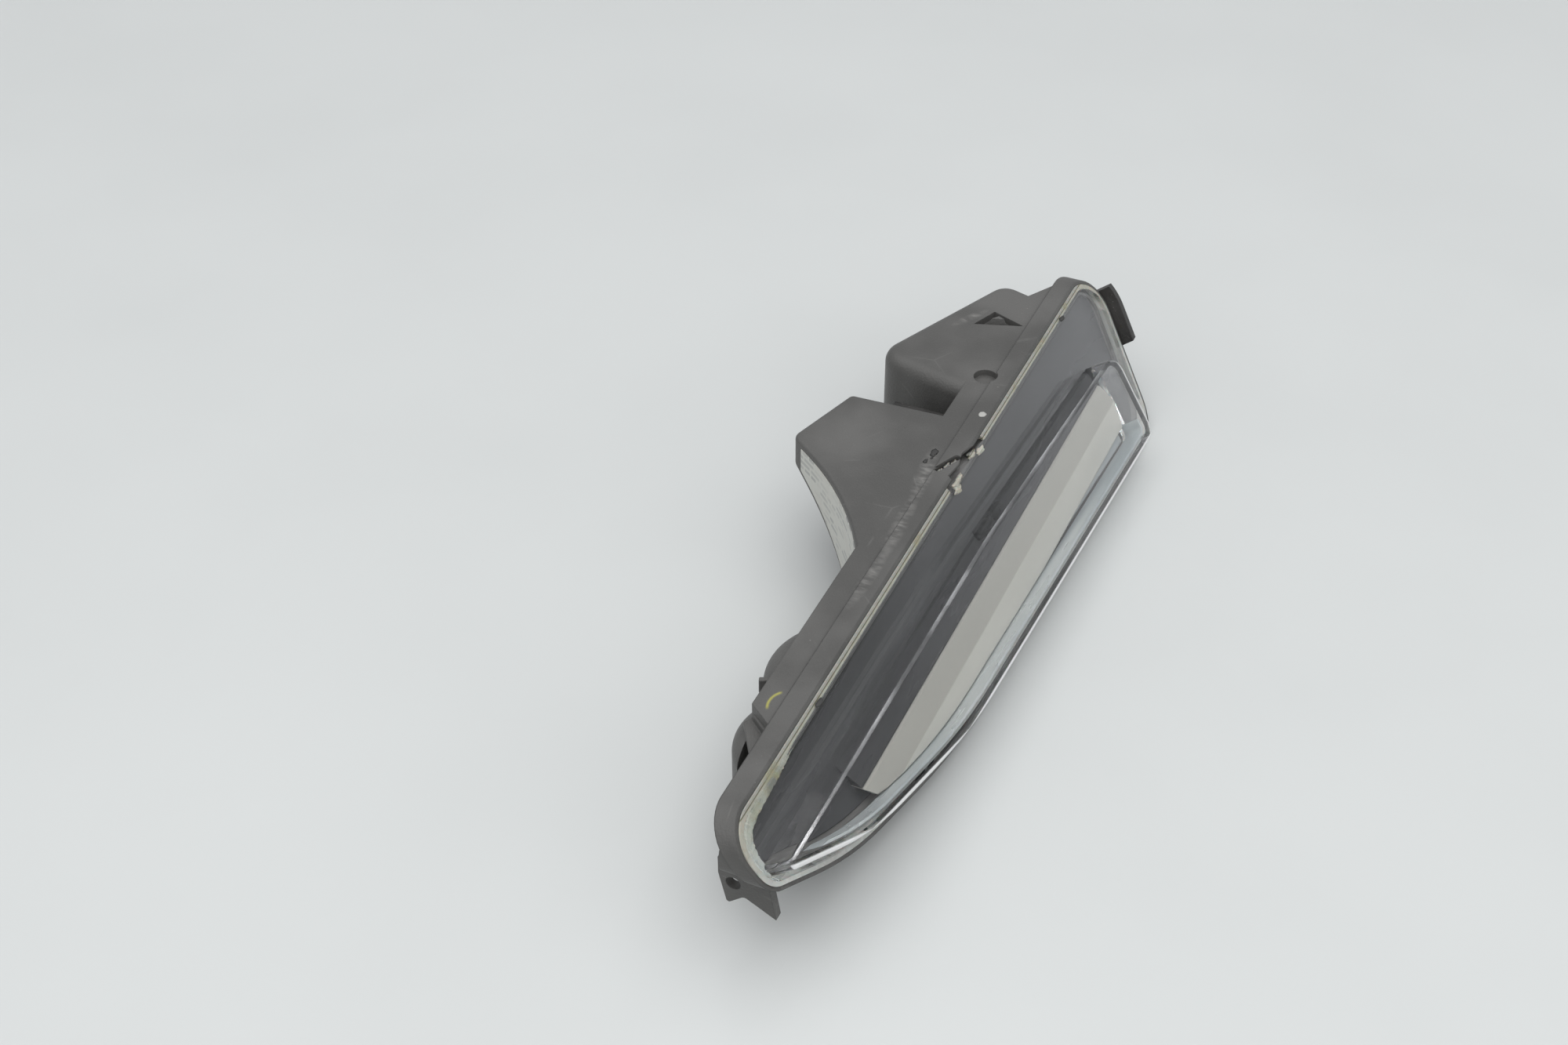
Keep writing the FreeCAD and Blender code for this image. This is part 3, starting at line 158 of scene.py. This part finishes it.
def add_node(tree, kind, settings=None, inputs=None):
    """Add a node, set its properties, and fill or link its inputs."""
    node = tree.nodes.new(kind)
    for name, value in (settings or {}).items():
        setattr(node, name, value)
    for name, value in (inputs or {}).items():
        if isinstance(value, bpy.types.NodeSocket):
            tree.links.new(value, node.inputs[name])
        else:
            node.inputs[name].default_value = value
    return node


def start_material(name, **inputs):
    """New material with one Principled shader. Returns it, its tree, its shader and Object coordinates."""
    material = bpy.data.materials.new(name)
    material.use_nodes = True
    tree = material.node_tree
    tree.nodes.clear()
    shader = add_node(tree, "ShaderNodeBsdfPrincipled",
                      inputs={name.replace("_", " "): value for name, value in inputs.items()})
    add_node(tree, "ShaderNodeOutputMaterial", inputs={"Surface": shader.outputs[0]})
    place = add_node(tree, "ShaderNodeTexCoord").outputs["Object"]
    return material, tree, shader, place


def layer(tree, under, over, *masks):
    """Colour socket of one colour laid over another where every mask is bright."""
    reach = masks[0]
    for mask in masks[1:]:
        reach = add_node(tree, "ShaderNodeMath", {"operation": "MULTIPLY"}, {0: reach, 1: mask}).outputs[0]
    return add_node(tree, "ShaderNodeMix", {"data_type": "RGBA"}, {0: reach, 6: under, 7: over}).outputs[2]


def grain(tree, place, size, low, high, detail=3.0, stretch=None):
    """Mask of cloudy noise whose spots are that size, in metres, cut between two levels."""
    if stretch:
        place = add_node(tree, "ShaderNodeMapping", inputs={"Vector": place, "Scale": stretch}).outputs[0]
    cloud = add_node(tree, "ShaderNodeTexNoise",
                     inputs={"Vector": place, "Scale": 1 / size, "Detail": detail})
    return add_node(tree, "ShaderNodeMapRange", {"interpolation_type": "SMOOTHSTEP"},
                    {"Value": cloud.outputs[0], "From Min": low, "From Max": high}).outputs[0]


def spot(tree, place, centre, radii, turn=0.0):
    """Mask of a soft ellipsoid, given in millimetres and degrees about the upright axis."""
    local = add_node(tree, "ShaderNodeMapping", {"vector_type": "TEXTURE"}, {
        "Vector": place, "Location": Vector(centre) * MM, "Rotation": (0, 0, math.radians(turn)),
        "Scale": Vector(radii) * MM})
    return add_node(tree, "ShaderNodeTexGradient", {"gradient_type": "SPHERICAL"},
                    {"Vector": local.outputs[0]}).outputs["Fac"]


def on_lens(along, down, out):
    """Place in millimetres, given along the lens, down its slope and out of it."""
    return Vector((along, 0, 0)) + LENS_TOP + LENS_DOWN * down + LENS_OUT * out


def down_lens(tree, place, start, end):
    """Mask that rises from dark to bright between two distances down the lens, in millimetres."""
    down = add_node(tree, "ShaderNodeVectorMath", {"operation": "DOT_PRODUCT"}, {0: place, 1: LENS_DOWN})
    edge = LENS_TOP.dot(LENS_DOWN)
    return add_node(tree, "ShaderNodeMapRange", inputs={
        "Value": down.outputs["Value"],
        "From Min": (edge + start) * MM, "From Max": (edge + end) * MM}).outputs[0]


def relief(tree, shader, height, depth, edge=None):
    """Bump of a height mask, its depth in metres, over edges rounded by the edge radius."""
    inputs = {"Height": height, "Distance": depth}
    if edge:
        inputs["Normal"] = add_node(tree, "ShaderNodeBevel", {"samples": 6}, {"Radius": edge}).outputs[0]
    bump = add_node(tree, "ShaderNodeBump", inputs=inputs)
    tree.links.new(bump.outputs[0], shader.inputs["Normal"])


def moulded_plastic(name, base, dust, rubbed=False):
    """Polypropylene from a spark-eroded mould: a dull dark skin with a fine even grain and a film of dust."""
    look = bpy.context.scene.lamp_look
    material, tree, shader, place = start_material(name, Roughness=0.5, IOR=1.49)
    # handling haze in patches of about 35 mm, and specks of dust about 1 mm wide
    haze = grain(tree, place, 35 * MM, 0.35, 0.7)
    skin = layer(tree, base, dust, haze)
    skin = layer(tree, skin, look.scuff, grain(tree, place, 0.9 * MM, 0.72, 0.8, 1.0),
                 grain(tree, place, 18 * MM, 0.5, 0.75))
    # hairline scratches, drawn about 0.3 mm wide so that they show
    hair = add_node(tree, "ShaderNodeTexVoronoi", {"feature": "DISTANCE_TO_EDGE"},
                    {"Vector": place, "Scale": 1 / (26 * MM), "Randomness": 1.0})
    line = add_node(tree, "ShaderNodeMapRange", inputs={
        "Value": hair.outputs[0], "From Min": 0.0, "From Max": 0.012, "To Min": 1.0, "To Max": 0.0})
    skin = layer(tree, skin, dust, line.outputs[0], grain(tree, place, 14 * MM, 0.52, 0.66))
    if rubbed:
        for centre, radii, turn in SCUFFS:
            streak = grain(tree, place, 1.6 * MM, 0.3, 0.75, 3.0, (1.0, 0.35, 1))
            skin = layer(tree, skin, look.scuff, spot(tree, place, centre, radii, turn), streak)
        # the crayon mark is a thin arc, so it shows on one ring of its round and near one side of it
        arc = add_node(tree, "ShaderNodeValToRGB", inputs={"Fac": spot(tree, place, *CHALK_ROUND)})
        ramp = arc.color_ramp.elements
        ramp[0].position = 0.12
        ramp[1].position = 0.22
        ramp.new(0.34).color = (0, 0, 0, 1)
        near = add_node(tree, "ShaderNodeMapRange", inputs={
            "Value": spot(tree, place, *CHALK_SIDE), "From Min": 0.05, "From Max": 0.3})
        skin = layer(tree, skin, look.chalk, arc.outputs[0], near.outputs[0],
                     grain(tree, place, 1.5 * MM, 0.2, 0.4))
    tree.links.new(skin, shader.inputs["Base Color"])
    tree.links.new(add_node(tree, "ShaderNodeMapRange", inputs={
        "Value": haze, "To Min": 0.42, "To Max": 0.6}).outputs[0], shader.inputs["Roughness"])
    # mould grain of about 0.7 mm, coarser than the real 0.1 mm so that it shows
    relief(tree, shader, grain(tree, place, 0.7 * MM, 0.3, 0.7, 2.0), 0.05 * MM, 0.5 * MM)
    return material


def painted_edge_highlight(tree, place):
    """Mask of a painted highlight: a pale line about 1.5 mm wide along the front edge of the lens bar.
    It stands in for the bright edge that a clear bar shows, which the low index doesn't give."""
    reach = None
    for (along, down), (way_along, way_down) in BAR_SIDES:
        way = Vector((way_along, 0, 0)) + LENS_DOWN * way_down
        inside = add_node(tree, "ShaderNodeVectorMath", {"operation": "DOT_PRODUCT"}, {0: place, 1: way})
        depth = add_node(tree, "ShaderNodeMath", {"operation": "SUBTRACT"}, {
            0: inside.outputs["Value"], 1: way.dot(on_lens(along, down, 0)) * MM}).outputs[0]
        if reach is None:
            reach = depth
        else:
            nearer = add_node(tree, "ShaderNodeMath", {"operation": "MINIMUM"}, {0: reach, 1: depth})
            reach = nearer.outputs[0]
    # the ramp spans the outer 2 mm of the bar
    share = add_node(tree, "ShaderNodeMapRange", inputs={"Value": reach, "From Min": 0, "From Max": 2 * MM})
    line = add_node(tree, "ShaderNodeValToRGB", inputs={"Fac": share.outputs[0]})
    ramp = line.color_ramp.elements
    ramp[0].position = 0.05
    ramp[1].position = 0.25
    ramp.new(0.75).color = (1, 1, 1, 1)
    ramp.new(0.95).color = (0, 0, 0, 1)
    front = add_node(tree, "ShaderNodeVectorMath", {"operation": "DOT_PRODUCT"}, {0: place, 1: LENS_OUT})
    level = LENS_TOP.dot(LENS_OUT)
    high = add_node(tree, "ShaderNodeMapRange", inputs={
        "Value": front.outputs["Value"],
        "From Min": (level + EDGE_HIGHLIGHT_START) * MM, "From Max": (level + EDGE_HIGHLIGHT_FULL) * MM})
    return add_node(tree, "ShaderNodeMath", {"operation": "MULTIPLY"}, {
        0: line.outputs[0], 1: high.outputs[0]}).outputs[0]


def clear_lens():
    """Hard-coated polycarbonate, moulded: water clear, glossy, with fine wiping marks.
    The coat carries the gloss, and the low index keeps the facets of the thin walls from showing."""
    material, tree, shader, place = start_material(
        "clear polycarbonate", Base_Color=(1, 1, 1, 1), Roughness=0.03, IOR=1.16, Transmission_Weight=1.0,
        Coat_Weight=1.0, Coat_IOR=1.5, Coat_Roughness=0.02)
    wiped = grain(tree, place, 9 * MM, 0.45, 0.75, 5.0, (0.25, 1, 1))
    tree.links.new(add_node(tree, "ShaderNodeMapRange", inputs={
        "Value": wiped, "To Min": 0.015, "To Max": 0.09}).outputs[0], shader.inputs["Roughness"])
    # painted highlight: the pale line comes from letting less light through
    tree.links.new(add_node(tree, "ShaderNodeMapRange", inputs={
        "Value": painted_edge_highlight(tree, place), "To Min": 1.0, "To Max": 0.25}).outputs[0],
        shader.inputs["Transmission Weight"])
    # light passes on to the pieces behind the lens
    output = next(node for node in tree.nodes if node.bl_idname == "ShaderNodeOutputMaterial")
    shadow = add_node(tree, "ShaderNodeLightPath").outputs["Is Shadow Ray"]
    through = add_node(tree, "ShaderNodeBsdfTransparent", inputs={"Color": (0.95, 0.96, 0.96, 1)})
    mix = add_node(tree, "ShaderNodeMixShader", inputs={
        0: shadow, 1: shader.outputs[0], 2: through.outputs[0]})
    tree.links.new(mix.outputs[0], output.inputs["Surface"])
    return material


def seal_adhesive(name):
    """Polyurethane bead, squeezed out and aged: milky, uneven, yellow in patches."""
    look = bpy.context.scene.lamp_look
    material, tree, shader, place = start_material(
        name, IOR=1.46, Subsurface_Weight=0.2, Subsurface_Scale=1.5 * MM)
    aged = grain(tree, place, 22 * MM, 0.55, 0.7)
    streak = grain(tree, place, 3 * MM, 0.4, 0.65, 4.0)
    # painted light: the lower run, which lies in shade under the lens flange, is painted paler, and the
    # yellowing and streaks are kept to the upper run
    height = add_node(tree, "ShaderNodeSeparateXYZ", inputs={"Vector": place}).outputs["Z"]
    upper = add_node(tree, "ShaderNodeMapRange", inputs={
        "Value": height, "From Min": 30 * MM, "From Max": 40 * MM}).outputs[0]
    # across the upper run: the grey edge of the glue, a dark line of painted shade in the groove along its
    # middle, and the creamy inner half
    across = add_node(tree, "ShaderNodeValToRGB", inputs={"Fac": down_lens(tree, place, -2.0, -0.4)})
    ramp = across.color_ramp.elements
    ramp[0].position = 0.34
    ramp[0].color = look.bead
    ramp[1].position = 0.64
    ramp[1].color = linear("#a9a79b")
    ramp.new(0.42).color = look.bead_groove_shade
    ramp.new(0.54).color = look.bead_groove_shade
    # painted light: the lower run takes the paler colour #b3b4b0
    skin = layer(tree, linear("#b3b4b0"), across.outputs[0], upper)
    skin = layer(tree, skin, look.bead_old, aged, upper)
    skin = layer(tree, skin, linear("#7d7c73"), streak, aged, upper)
    tree.links.new(skin, shader.inputs["Base Color"])
    tree.links.new(add_node(tree, "ShaderNodeMapRange", inputs={
        "Value": streak, "To Min": 0.16, "To Max": 0.45}).outputs[0], shader.inputs["Roughness"])
    relief(tree, shader, streak, 0.15 * MM)
    return material


def moulded_optic(name, base, shade, roughness, metallic=0.0):
    """Smooth moulded inner part: even colour with slow shading and faint flow marks along the lamp."""
    material, tree, shader, place = start_material(name, IOR=1.5, Metallic=metallic)
    flow = grain(tree, place, 16 * MM, 0.3, 0.75, 4.0, (0.15, 1, 1))
    tree.links.new(layer(tree, base, shade, flow), shader.inputs["Base Color"])
    dull = add_node(tree, "ShaderNodeMapRange", inputs={
        "Value": flow, "To Min": roughness * 0.8, "To Max": roughness * 1.25})
    tree.links.new(dull.outputs[0], shader.inputs["Roughness"])
    relief(tree, shader, flow, 0.03 * MM, 0.35 * MM)
    return material


def panel_plastic():
    """Satin dark grey polycarbonate, moulded: flow marks along the lamp, and painted shade as a near-black
    strip along the edge under the bead.
    """
    look = bpy.context.scene.lamp_look
    material, tree, shader, place = start_material("satin inner panel", Roughness=0.3, IOR=1.5)
    flow = grain(tree, place, 16 * MM, 0.3, 0.75, 4.0, (0.15, 1, 1))
    skin = layer(tree, look.bezel, look.bezel_flow, flow)
    # painted shade: the panel goes near black within about 2.2 mm of the lens's upper edge, under the bead,
    # fading out by 3 mm
    skin = layer(tree, look.bezel_edge_shade, skin, down_lens(tree, place, 2.2, 3.0))
    tree.links.new(skin, shader.inputs["Base Color"])
    tree.links.new(add_node(tree, "ShaderNodeMapRange", inputs={
        "Value": flow, "To Min": 0.24, "To Max": 0.38}).outputs[0], shader.inputs["Roughness"])
    relief(tree, shader, flow, 0.03 * MM, 0.35 * MM)
    return material


def guide_acrylic():
    """Opal acrylic, extruded: an even satin white, with painted light: the lower facet is painted paler, as
    the reflector lights it.
    """
    look = bpy.context.scene.lamp_look
    material, tree, shader, place = start_material("white diffusing acrylic", Roughness=0.3, IOR=1.49)
    # painted light: the lower facet gets the paler, lit colour
    lower = down_lens(tree, place, GUIDE_RIDGE - 0.3, GUIDE_RIDGE + 0.3)
    # painted light: slow clouds about 60 mm long on the lower facet, as the light varies along the bar
    cloud = grain(tree, place, 20 * MM, 0.3, 0.75, 3.0, (0.33, 1, 1))
    skin = layer(tree, look.guide, look.guide_lower_lit, lower)
    tree.links.new(layer(tree, skin, linear("#acaba4"), cloud, lower), shader.inputs["Base Color"])
    relief(tree, shader, cloud, 0.02 * MM, 0.4 * MM)
    return material


def plain_metal(name, base, shade, roughness):
    """Turned or drawn metal: fine marks along the part and slight stain."""
    material, tree, shader, place = start_material(name, Metallic=1.0)
    marks = grain(tree, place, 0.5 * MM, 0.3, 0.7, 2.0, (0.2, 1, 1))
    stain = grain(tree, place, 6 * MM, 0.4, 0.7)
    tree.links.new(layer(tree, base, shade, stain), shader.inputs["Base Color"])
    dull = add_node(tree, "ShaderNodeMapRange", inputs={
        "Value": marks, "To Min": roughness * 0.7, "To Max": roughness * 1.4})
    tree.links.new(dull.outputs[0], shader.inputs["Roughness"])
    relief(tree, shader, marks, 0.02 * MM)
    return material


def label_paper():
    """Coated paper label: white, slightly dirty, with plain grey fields instead of print."""
    look = bpy.context.scene.lamp_look
    material, tree, shader, place = start_material("coated label paper", Roughness=0.42, IOR=1.45)
    # the label stands upright and askew to the lamp, so the field pattern is turned with it
    turned = add_node(tree, "ShaderNodeMapping", {"vector_type": "TEXTURE"}, {
        "Vector": place, "Location": (-25 * MM, 18.6 * MM, 11 * MM),
        "Rotation": (math.radians(90), 0, math.radians(43))})
    fields = add_node(tree, "ShaderNodeTexBrick", {"offset": 0.37, "squash": 0.6, "squash_frequency": 3}, {
        "Vector": turned.outputs[0], "Color1": look.label_field, "Color2": look.label, "Mortar": look.label,
        "Scale": 1 / (6 * MM), "Mortar Size": 0.08, "Bias": 0.3, "Brick Width": 1.1, "Row Height": 0.34})
    dirt = grain(tree, place, 9 * MM, 0.45, 0.8)
    tree.links.new(layer(tree, fields.outputs[0], linear("#c4c2bb"), dirt), shader.inputs["Base Color"])
    relief(tree, shader, grain(tree, place, 1.5 * MM, 0.3, 0.7), 0.03 * MM)
    return material


def dress(material, *names):
    """Give the named pieces that material and no other."""
    for name in names:
        mesh = NODES[name].data
        mesh.materials.clear()
        mesh.materials.append(material)


def keep_piece(name, mesh, material):
    """Turn a bmesh into a piece of the lamp, at the origin, riding on the lamp's one body."""
    bmesh.ops.recalc_face_normals(mesh, faces=mesh.faces)
    data = bpy.data.meshes.new(name)
    mesh.to_mesh(data)
    mesh.free()
    data.shade_smooth()
    data.materials.append(material)
    piece = bpy.data.objects.new(name, data)
    bpy.context.scene.collection.objects.link(piece)
    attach(piece, "root")
    return piece


def add_lump(mesh, centre, radii, seed, rough=0.35, lean=0.0):
    """Uneven drop: a ball squeezed to its radii in millimetres, with knobs, leant about X in degrees."""
    ball = bmesh.ops.create_icosphere(mesh, subdivisions=3, radius=1.0)["verts"]
    for vert in ball:
        vert.co *= 1 + rough * noise.noise(vert.co * 1.6 + Vector((seed * 7.1, seed * 3.3, 0)))
    bmesh.ops.scale(mesh, verts=ball, vec=Vector(radii) * MM)
    bmesh.ops.rotate(mesh, verts=ball, matrix=Matrix.Rotation(math.radians(lean), 3, "X"))
    bmesh.ops.translate(mesh, verts=ball, vec=Vector(centre) * MM)


class LAMP_OT_housing(bpy.types.Operator):
    """Give the moulded outer pieces their plastic"""
    bl_idname = "lamp.housing"
    bl_label = "Housing"

    def execute(self, context):
        look = context.scene.lamp_look
        plastic = moulded_plastic("moulded housing plastic", look.housing, look.housing_dust, True)
        dress(plastic, "housing", "broken_lug")
        black = moulded_plastic("black fitting plastic", look.clip, linear("#4a4846"))
        dress(black, "far_end_clip", "driver_cover", "connector_shroud", "breather_cap")
        return {"FINISHED"}


class LAMP_OT_lens(bpy.types.Operator):
    """Give the clear cover and its adhesive bead their finishes"""
    bl_idname = "lamp.lens"
    bl_label = "Lens and bead"

    def execute(self, context):
        dress(clear_lens(), "outer_lens")
        dress(seal_adhesive("milky adhesive"), "lens_seal_bead")
        return {"FINISHED"}


class LAMP_OT_optics(bpy.types.Operator):
    """Give the panel, light guide and reflector behind the lens their finishes"""
    bl_idname = "lamp.optics"
    bl_label = "Optics"

    def execute(self, context):
        look = context.scene.lamp_look
        dress(panel_plastic(), "inner_bezel")
        dress(guide_acrylic(), "light_guide")
        silver = moulded_optic("satin silvered strip", look.reflector, linear("#9aa4a8"), 0.3, 0.35)
        dress(silver, "lower_reflector")
        return {"FINISHED"}


class LAMP_OT_inside(bpy.types.Operator):
    """Give the electronics, metal pieces and seal their finishes"""
    bl_idname = "lamp.inside"
    bl_label = "Inside"

    def execute(self, context):
        for name, base, shade, roughness, piece in (
                ("white lacquered board", "#dedcd4", "#cbc9bf", 0.4, "led_board"),
                ("phosphor light source", "#e3cf63", "#d9bf4a", 0.3, "leds"),
                ("green lacquered board", "#1f5a35", "#1a4a2c", 0.35, "driver_board"),
                ("sintered ferrite", "#3c3b3a", "#2d2c2b", 0.6, "driver_choke"),
                ("black chip resin", "#232324", "#1a1a1b", 0.45, "driver_chips"),
                ("black seal rubber", "#2a2a2a", "#202020", 0.7, "driver_gasket")):
            dress(moulded_optic(name, linear(base), linear(shade), roughness), piece)
        for name, base, shade, roughness, pieces in (
                ("pressed aluminium", "#b9babb", "#a3a4a6", 0.4, ("heat_sink", "driver_capacitors")),
                ("zinc-plated steel", "#b0b1b0", "#8f908c", 0.35, ("board_screws", "cover_screws")),
                ("turned brass", "#c9a75e", "#a98745", 0.3, ("connector_pins", "fixing_inserts"))):
            dress(plain_metal(name, linear(base), linear(shade), roughness), *pieces)
        return {"FINISHED"}


class LAMP_OT_label(bpy.types.Operator):
    """Give the label its paper"""
    bl_idname = "lamp.label"
    bl_label = "Label"

    def execute(self, context):
        dress(label_paper(), "rating_label")
        return {"FINISHED"}


class LAMP_OT_damage(bpy.types.Operator):
    """Add the paint dot, loose adhesive (round the near tip also a painted highlight), black lumps partly of
    painted shade at a break, flat dark patches of painted shade in the torn pits, and chips of the bead
    """
    bl_idname = "lamp.damage"
    bl_label = "Damage"

    def execute(self, context):
        look = context.scene.lamp_look
        dot = bmesh.new()
        radius = look.paint_dot_radius / MM
        add_lump(dot, (51.5, 6.3, 45.78), (radius, radius * 0.85, 0.14), 1, 0.25)
        paint = moulded_optic("dried white paint", linear("#b9b8b4"), linear("#a5a49f"), 0.5)
        keep_piece("paint_dot", dot, paint)
        lumps = bmesh.new()
        largest = look.lump_radius / MM
        for seed, (x, y, z, share) in enumerate(GLUE_LUMPS):
            size = largest * share
            add_lump(lumps, (x, y, z), (size * 1.5, size * 0.6, size * 0.6), seed, 0.9)
        keep_piece("glue_lumps", lumps, seal_adhesive("glassy adhesive"))
        # adhesive squeezed in under the lens round its near tip; its pale band also stands for the painted
        # highlight of the lens's thick edge
        squeezed = bmesh.new()
        for k, (start, end) in enumerate(zip(TIP_GLUE_AND_HIGHLIGHT, TIP_GLUE_AND_HIGHLIGHT[1:])):
            run = Vector(end) - Vector(start)
            steps = round(run.length / TIP_STEP)
            for step in range(steps):
                seed = k * 20 + step
                along, down = Vector(start) + run * (step / steps)
                # the run starts thin and is full after about 13 mm
                share = min(1.0, 0.4 + 0.05 * seed)
                centre = on_lens(along, down - 1.1 * (1 - share), -1.75)
                add_lump(squeezed, centre, (1.5 * share, 1.4 * share, 0.32), seed, 0.3, LENS_LEAN)
        keep_piece("squeezed_glue_and_edge_highlight", squeezed, NODES["lens_seal_bead"].data.materials[0])
        # black flat lumps on the panel under the lens, where the panel shows a dark break: partly torn black
        # plastic, partly painted shade of the hole
        break_lumps = bmesh.new()
        add_lump(break_lumps, on_lens(17.5, 17.8, -2.0), (6.2, 3.0, 0.35), 3, 0.6, RAMP_LEAN)
        add_lump(break_lumps, on_lens(26.8, 18.9, -1.8), (4.4, 2.2, 0.3), 4, 0.6, RAMP_LEAN)
        broken = moulded_plastic("black break plastic with painted shade", linear("#080808"), linear("#121212"))
        keep_piece("dark_break_and_shade", break_lumps, broken)
        # painted shade: flat dark patches standing for the pits beside the torn slot
        pits = bmesh.new()
        for k, (x, y, reach) in enumerate(TORN_PIT_SHADES):
            add_lump(pits, (x, y, PIT_LEVEL), (reach, reach * 0.5, 0.12), k + 11, 0.5)
        torn = moulded_plastic("painted pit shade", linear("#333231"), linear("#3f3e3d"))
        keep_piece("torn_pit_shades", pits, torn)
        # dark places where the upper bead has chipped
        chips = bmesh.new()
        add_lump(chips, (-92.0, 1.6, 43.9), (1.9, 0.9, 0.6), 5, 0.3)
        add_lump(chips, (118.0, 1.4, 43.9), (1.6, 0.8, 0.5), 6, 0.3)
        dark = moulded_plastic("dark rim chip", linear("#2c2b2a"), linear("#3a3938"))
        keep_piece("bead_chips", chips, dark)
        return {"FINISHED"}


class LAMP_OT_gussets(bpy.types.Operator):
    """Add the gusset plates between the rear wall and the bulges"""
    bl_idname = "lamp.gussets"
    bl_label = "Gussets"

    def execute(self, context):
        plates = bmesh.new()
        for low, high, corners in GUSSETS:
            ring = [plates.verts.new(Vector((x, y, low)) * MM) for x, y in corners]
            face = plates.faces.new(ring)
            risen = bmesh.ops.extrude_face_region(plates, geom=[face])["geom"]
            top = [part for part in risen if isinstance(part, bmesh.types.BMVert)]
            bmesh.ops.translate(plates, verts=top, vec=Vector((0, 0, high - low)) * MM)
        bmesh.ops.bevel(plates, geom=plates.edges, offset=0.35 * MM, segments=2, affect="EDGES",
                        profile=0.5, material=-1)
        piece = keep_piece("gussets", plates, NODES["housing"].data.materials[0])
        piece.data.shade_flat()
        return {"FINISHED"}


class LAMP_OT_stage(bpy.types.Operator):
    """Make the table, soft light and camera"""
    bl_idname = "lamp.stage"
    bl_label = "Stage"

    def execute(self, context):
        look = context.scene.lamp_look
        top = bmesh.new()
        bmesh.ops.create_grid(top, x_segments=1, y_segments=1, size=4.0)
        data = bpy.data.meshes.new("table")
        top.to_mesh(data)
        top.free()
        material, tree, shader, place = start_material("lacquered table top", Roughness=0.3, IOR=1.38)
        cloud = grain(tree, place, 0.12, 0.3, 0.8)
        tree.links.new(layer(tree, look.floor, linear("#cdcfce"), cloud), shader.inputs["Base Color"])
        data.materials.append(material)
        table = bpy.data.objects.new("table", data)
        context.scene.collection.objects.link(table)
        for light in LIGHTS:
            self.add_light(*light)
        self.add_sky(context.scene)
        context.scene.view_settings.view_transform = "Standard"
        camera = bpy.data.cameras.new("camera")
        camera.lens = 50
        camera.sensor_width = 36
        eye = bpy.data.objects.new("camera", camera)
        eye.location = EYE
        eye.rotation_euler = AHEAD.to_track_quat("-Z", "Y").to_euler()
        context.scene.collection.objects.link(eye)
        context.scene.camera = eye
        return {"FINISHED"}

    def add_sky(self, scene):
        """Even pale surroundings with one softly brighter side and one dimmer side."""
        world = bpy.data.worlds.new("studio")
        world.use_nodes = True
        tree = world.node_tree
        tree.nodes.clear()
        way = add_node(tree, "ShaderNodeTexCoord").outputs["Generated"]
        toward = add_node(tree, "ShaderNodeVectorMath", {"operation": "DOT_PRODUCT"}, {
            0: way, 1: BRIGHT_SIDE})
        glow = add_node(tree, "ShaderNodeMapRange", {"interpolation_type": "SMOOTHSTEP"}, {
            "Value": toward.outputs["Value"], "From Min": 0.92, "From Max": 0.996,
            "To Min": SKY_STRENGTH, "To Max": 1.9})
        away = add_node(tree, "ShaderNodeVectorMath", {"operation": "DOT_PRODUCT"}, {0: way, 1: DIM_SIDE})
        dim = add_node(tree, "ShaderNodeMapRange", {"interpolation_type": "SMOOTHSTEP"}, {
            "Value": away.outputs["Value"], "From Min": 0.766, "From Max": 0.978,
            "To Min": 1.0, "To Max": 0.45})
        strength = add_node(tree, "ShaderNodeMath", {"operation": "MULTIPLY"}, {
            0: glow.outputs[0], 1: dim.outputs[0]})
        sky = add_node(tree, "ShaderNodeBackground", inputs={
            "Color": linear(SKY_TINT), "Strength": strength.outputs[0]})
        plain = add_node(tree, "ShaderNodeBackground", inputs={
            "Color": linear(SKY_TINT), "Strength": SKY_STRENGTH})
        seen = add_node(tree, "ShaderNodeLightPath").outputs["Is Camera Ray"]
        both = add_node(tree, "ShaderNodeMixShader", inputs={0: seen, 1: sky.outputs[0], 2: plain.outputs[0]})
        add_node(tree, "ShaderNodeOutputWorld", inputs={"Surface": both.outputs[0]})
        scene.world = world

    def add_light(self, name, place, side, power):
        """Square soft light that faces the lamp and that the camera doesn't see."""
        light = bpy.data.lights.new(name, "AREA")
        light.shape = "SQUARE"
        light.size = side
        light.energy = power
        holder = bpy.data.objects.new(name, light)
        holder.location = place
        holder.visible_camera = False
        holder.rotation_euler = (LAMP_MIDDLE - Vector(place)).to_track_quat("-Z", "Y").to_euler()
        bpy.context.scene.collection.objects.link(holder)


class LAMP_PT_panel(bpy.types.Panel):
    """Lists the steps that finish the lamp"""
    bl_idname = "LAMP_PT_panel"
    bl_label = "Driving light"
    bl_space_type = "VIEW_3D"
    bl_region_type = "UI"
    bl_category = "Lamp"

    def draw(self, context):
        for step in STEPS:
            self.layout.operator(step.bl_idname)


STEPS = (LAMP_OT_housing, LAMP_OT_lens, LAMP_OT_optics, LAMP_OT_inside, LAMP_OT_label, LAMP_OT_damage,
         LAMP_OT_gussets, LAMP_OT_stage)
CLASSES = (LampLook, *STEPS, LAMP_PT_panel)


def register():
    for kind in CLASSES:
        bpy.utils.register_class(kind)
    bpy.types.Scene.lamp_look = PointerProperty(type=LampLook)


def unregister():
    del bpy.types.Scene.lamp_look
    for kind in reversed(CLASSES):
        bpy.utils.unregister_class(kind)


def main():
    register()
    bpy.ops.lamp.stage()
    bpy.ops.lamp.housing()
    bpy.ops.lamp.lens()
    bpy.ops.lamp.optics()
    bpy.ops.lamp.inside()
    bpy.ops.lamp.label()
    bpy.ops.lamp.damage()
    bpy.ops.lamp.gussets()


if __name__ == "__main__":
    main()
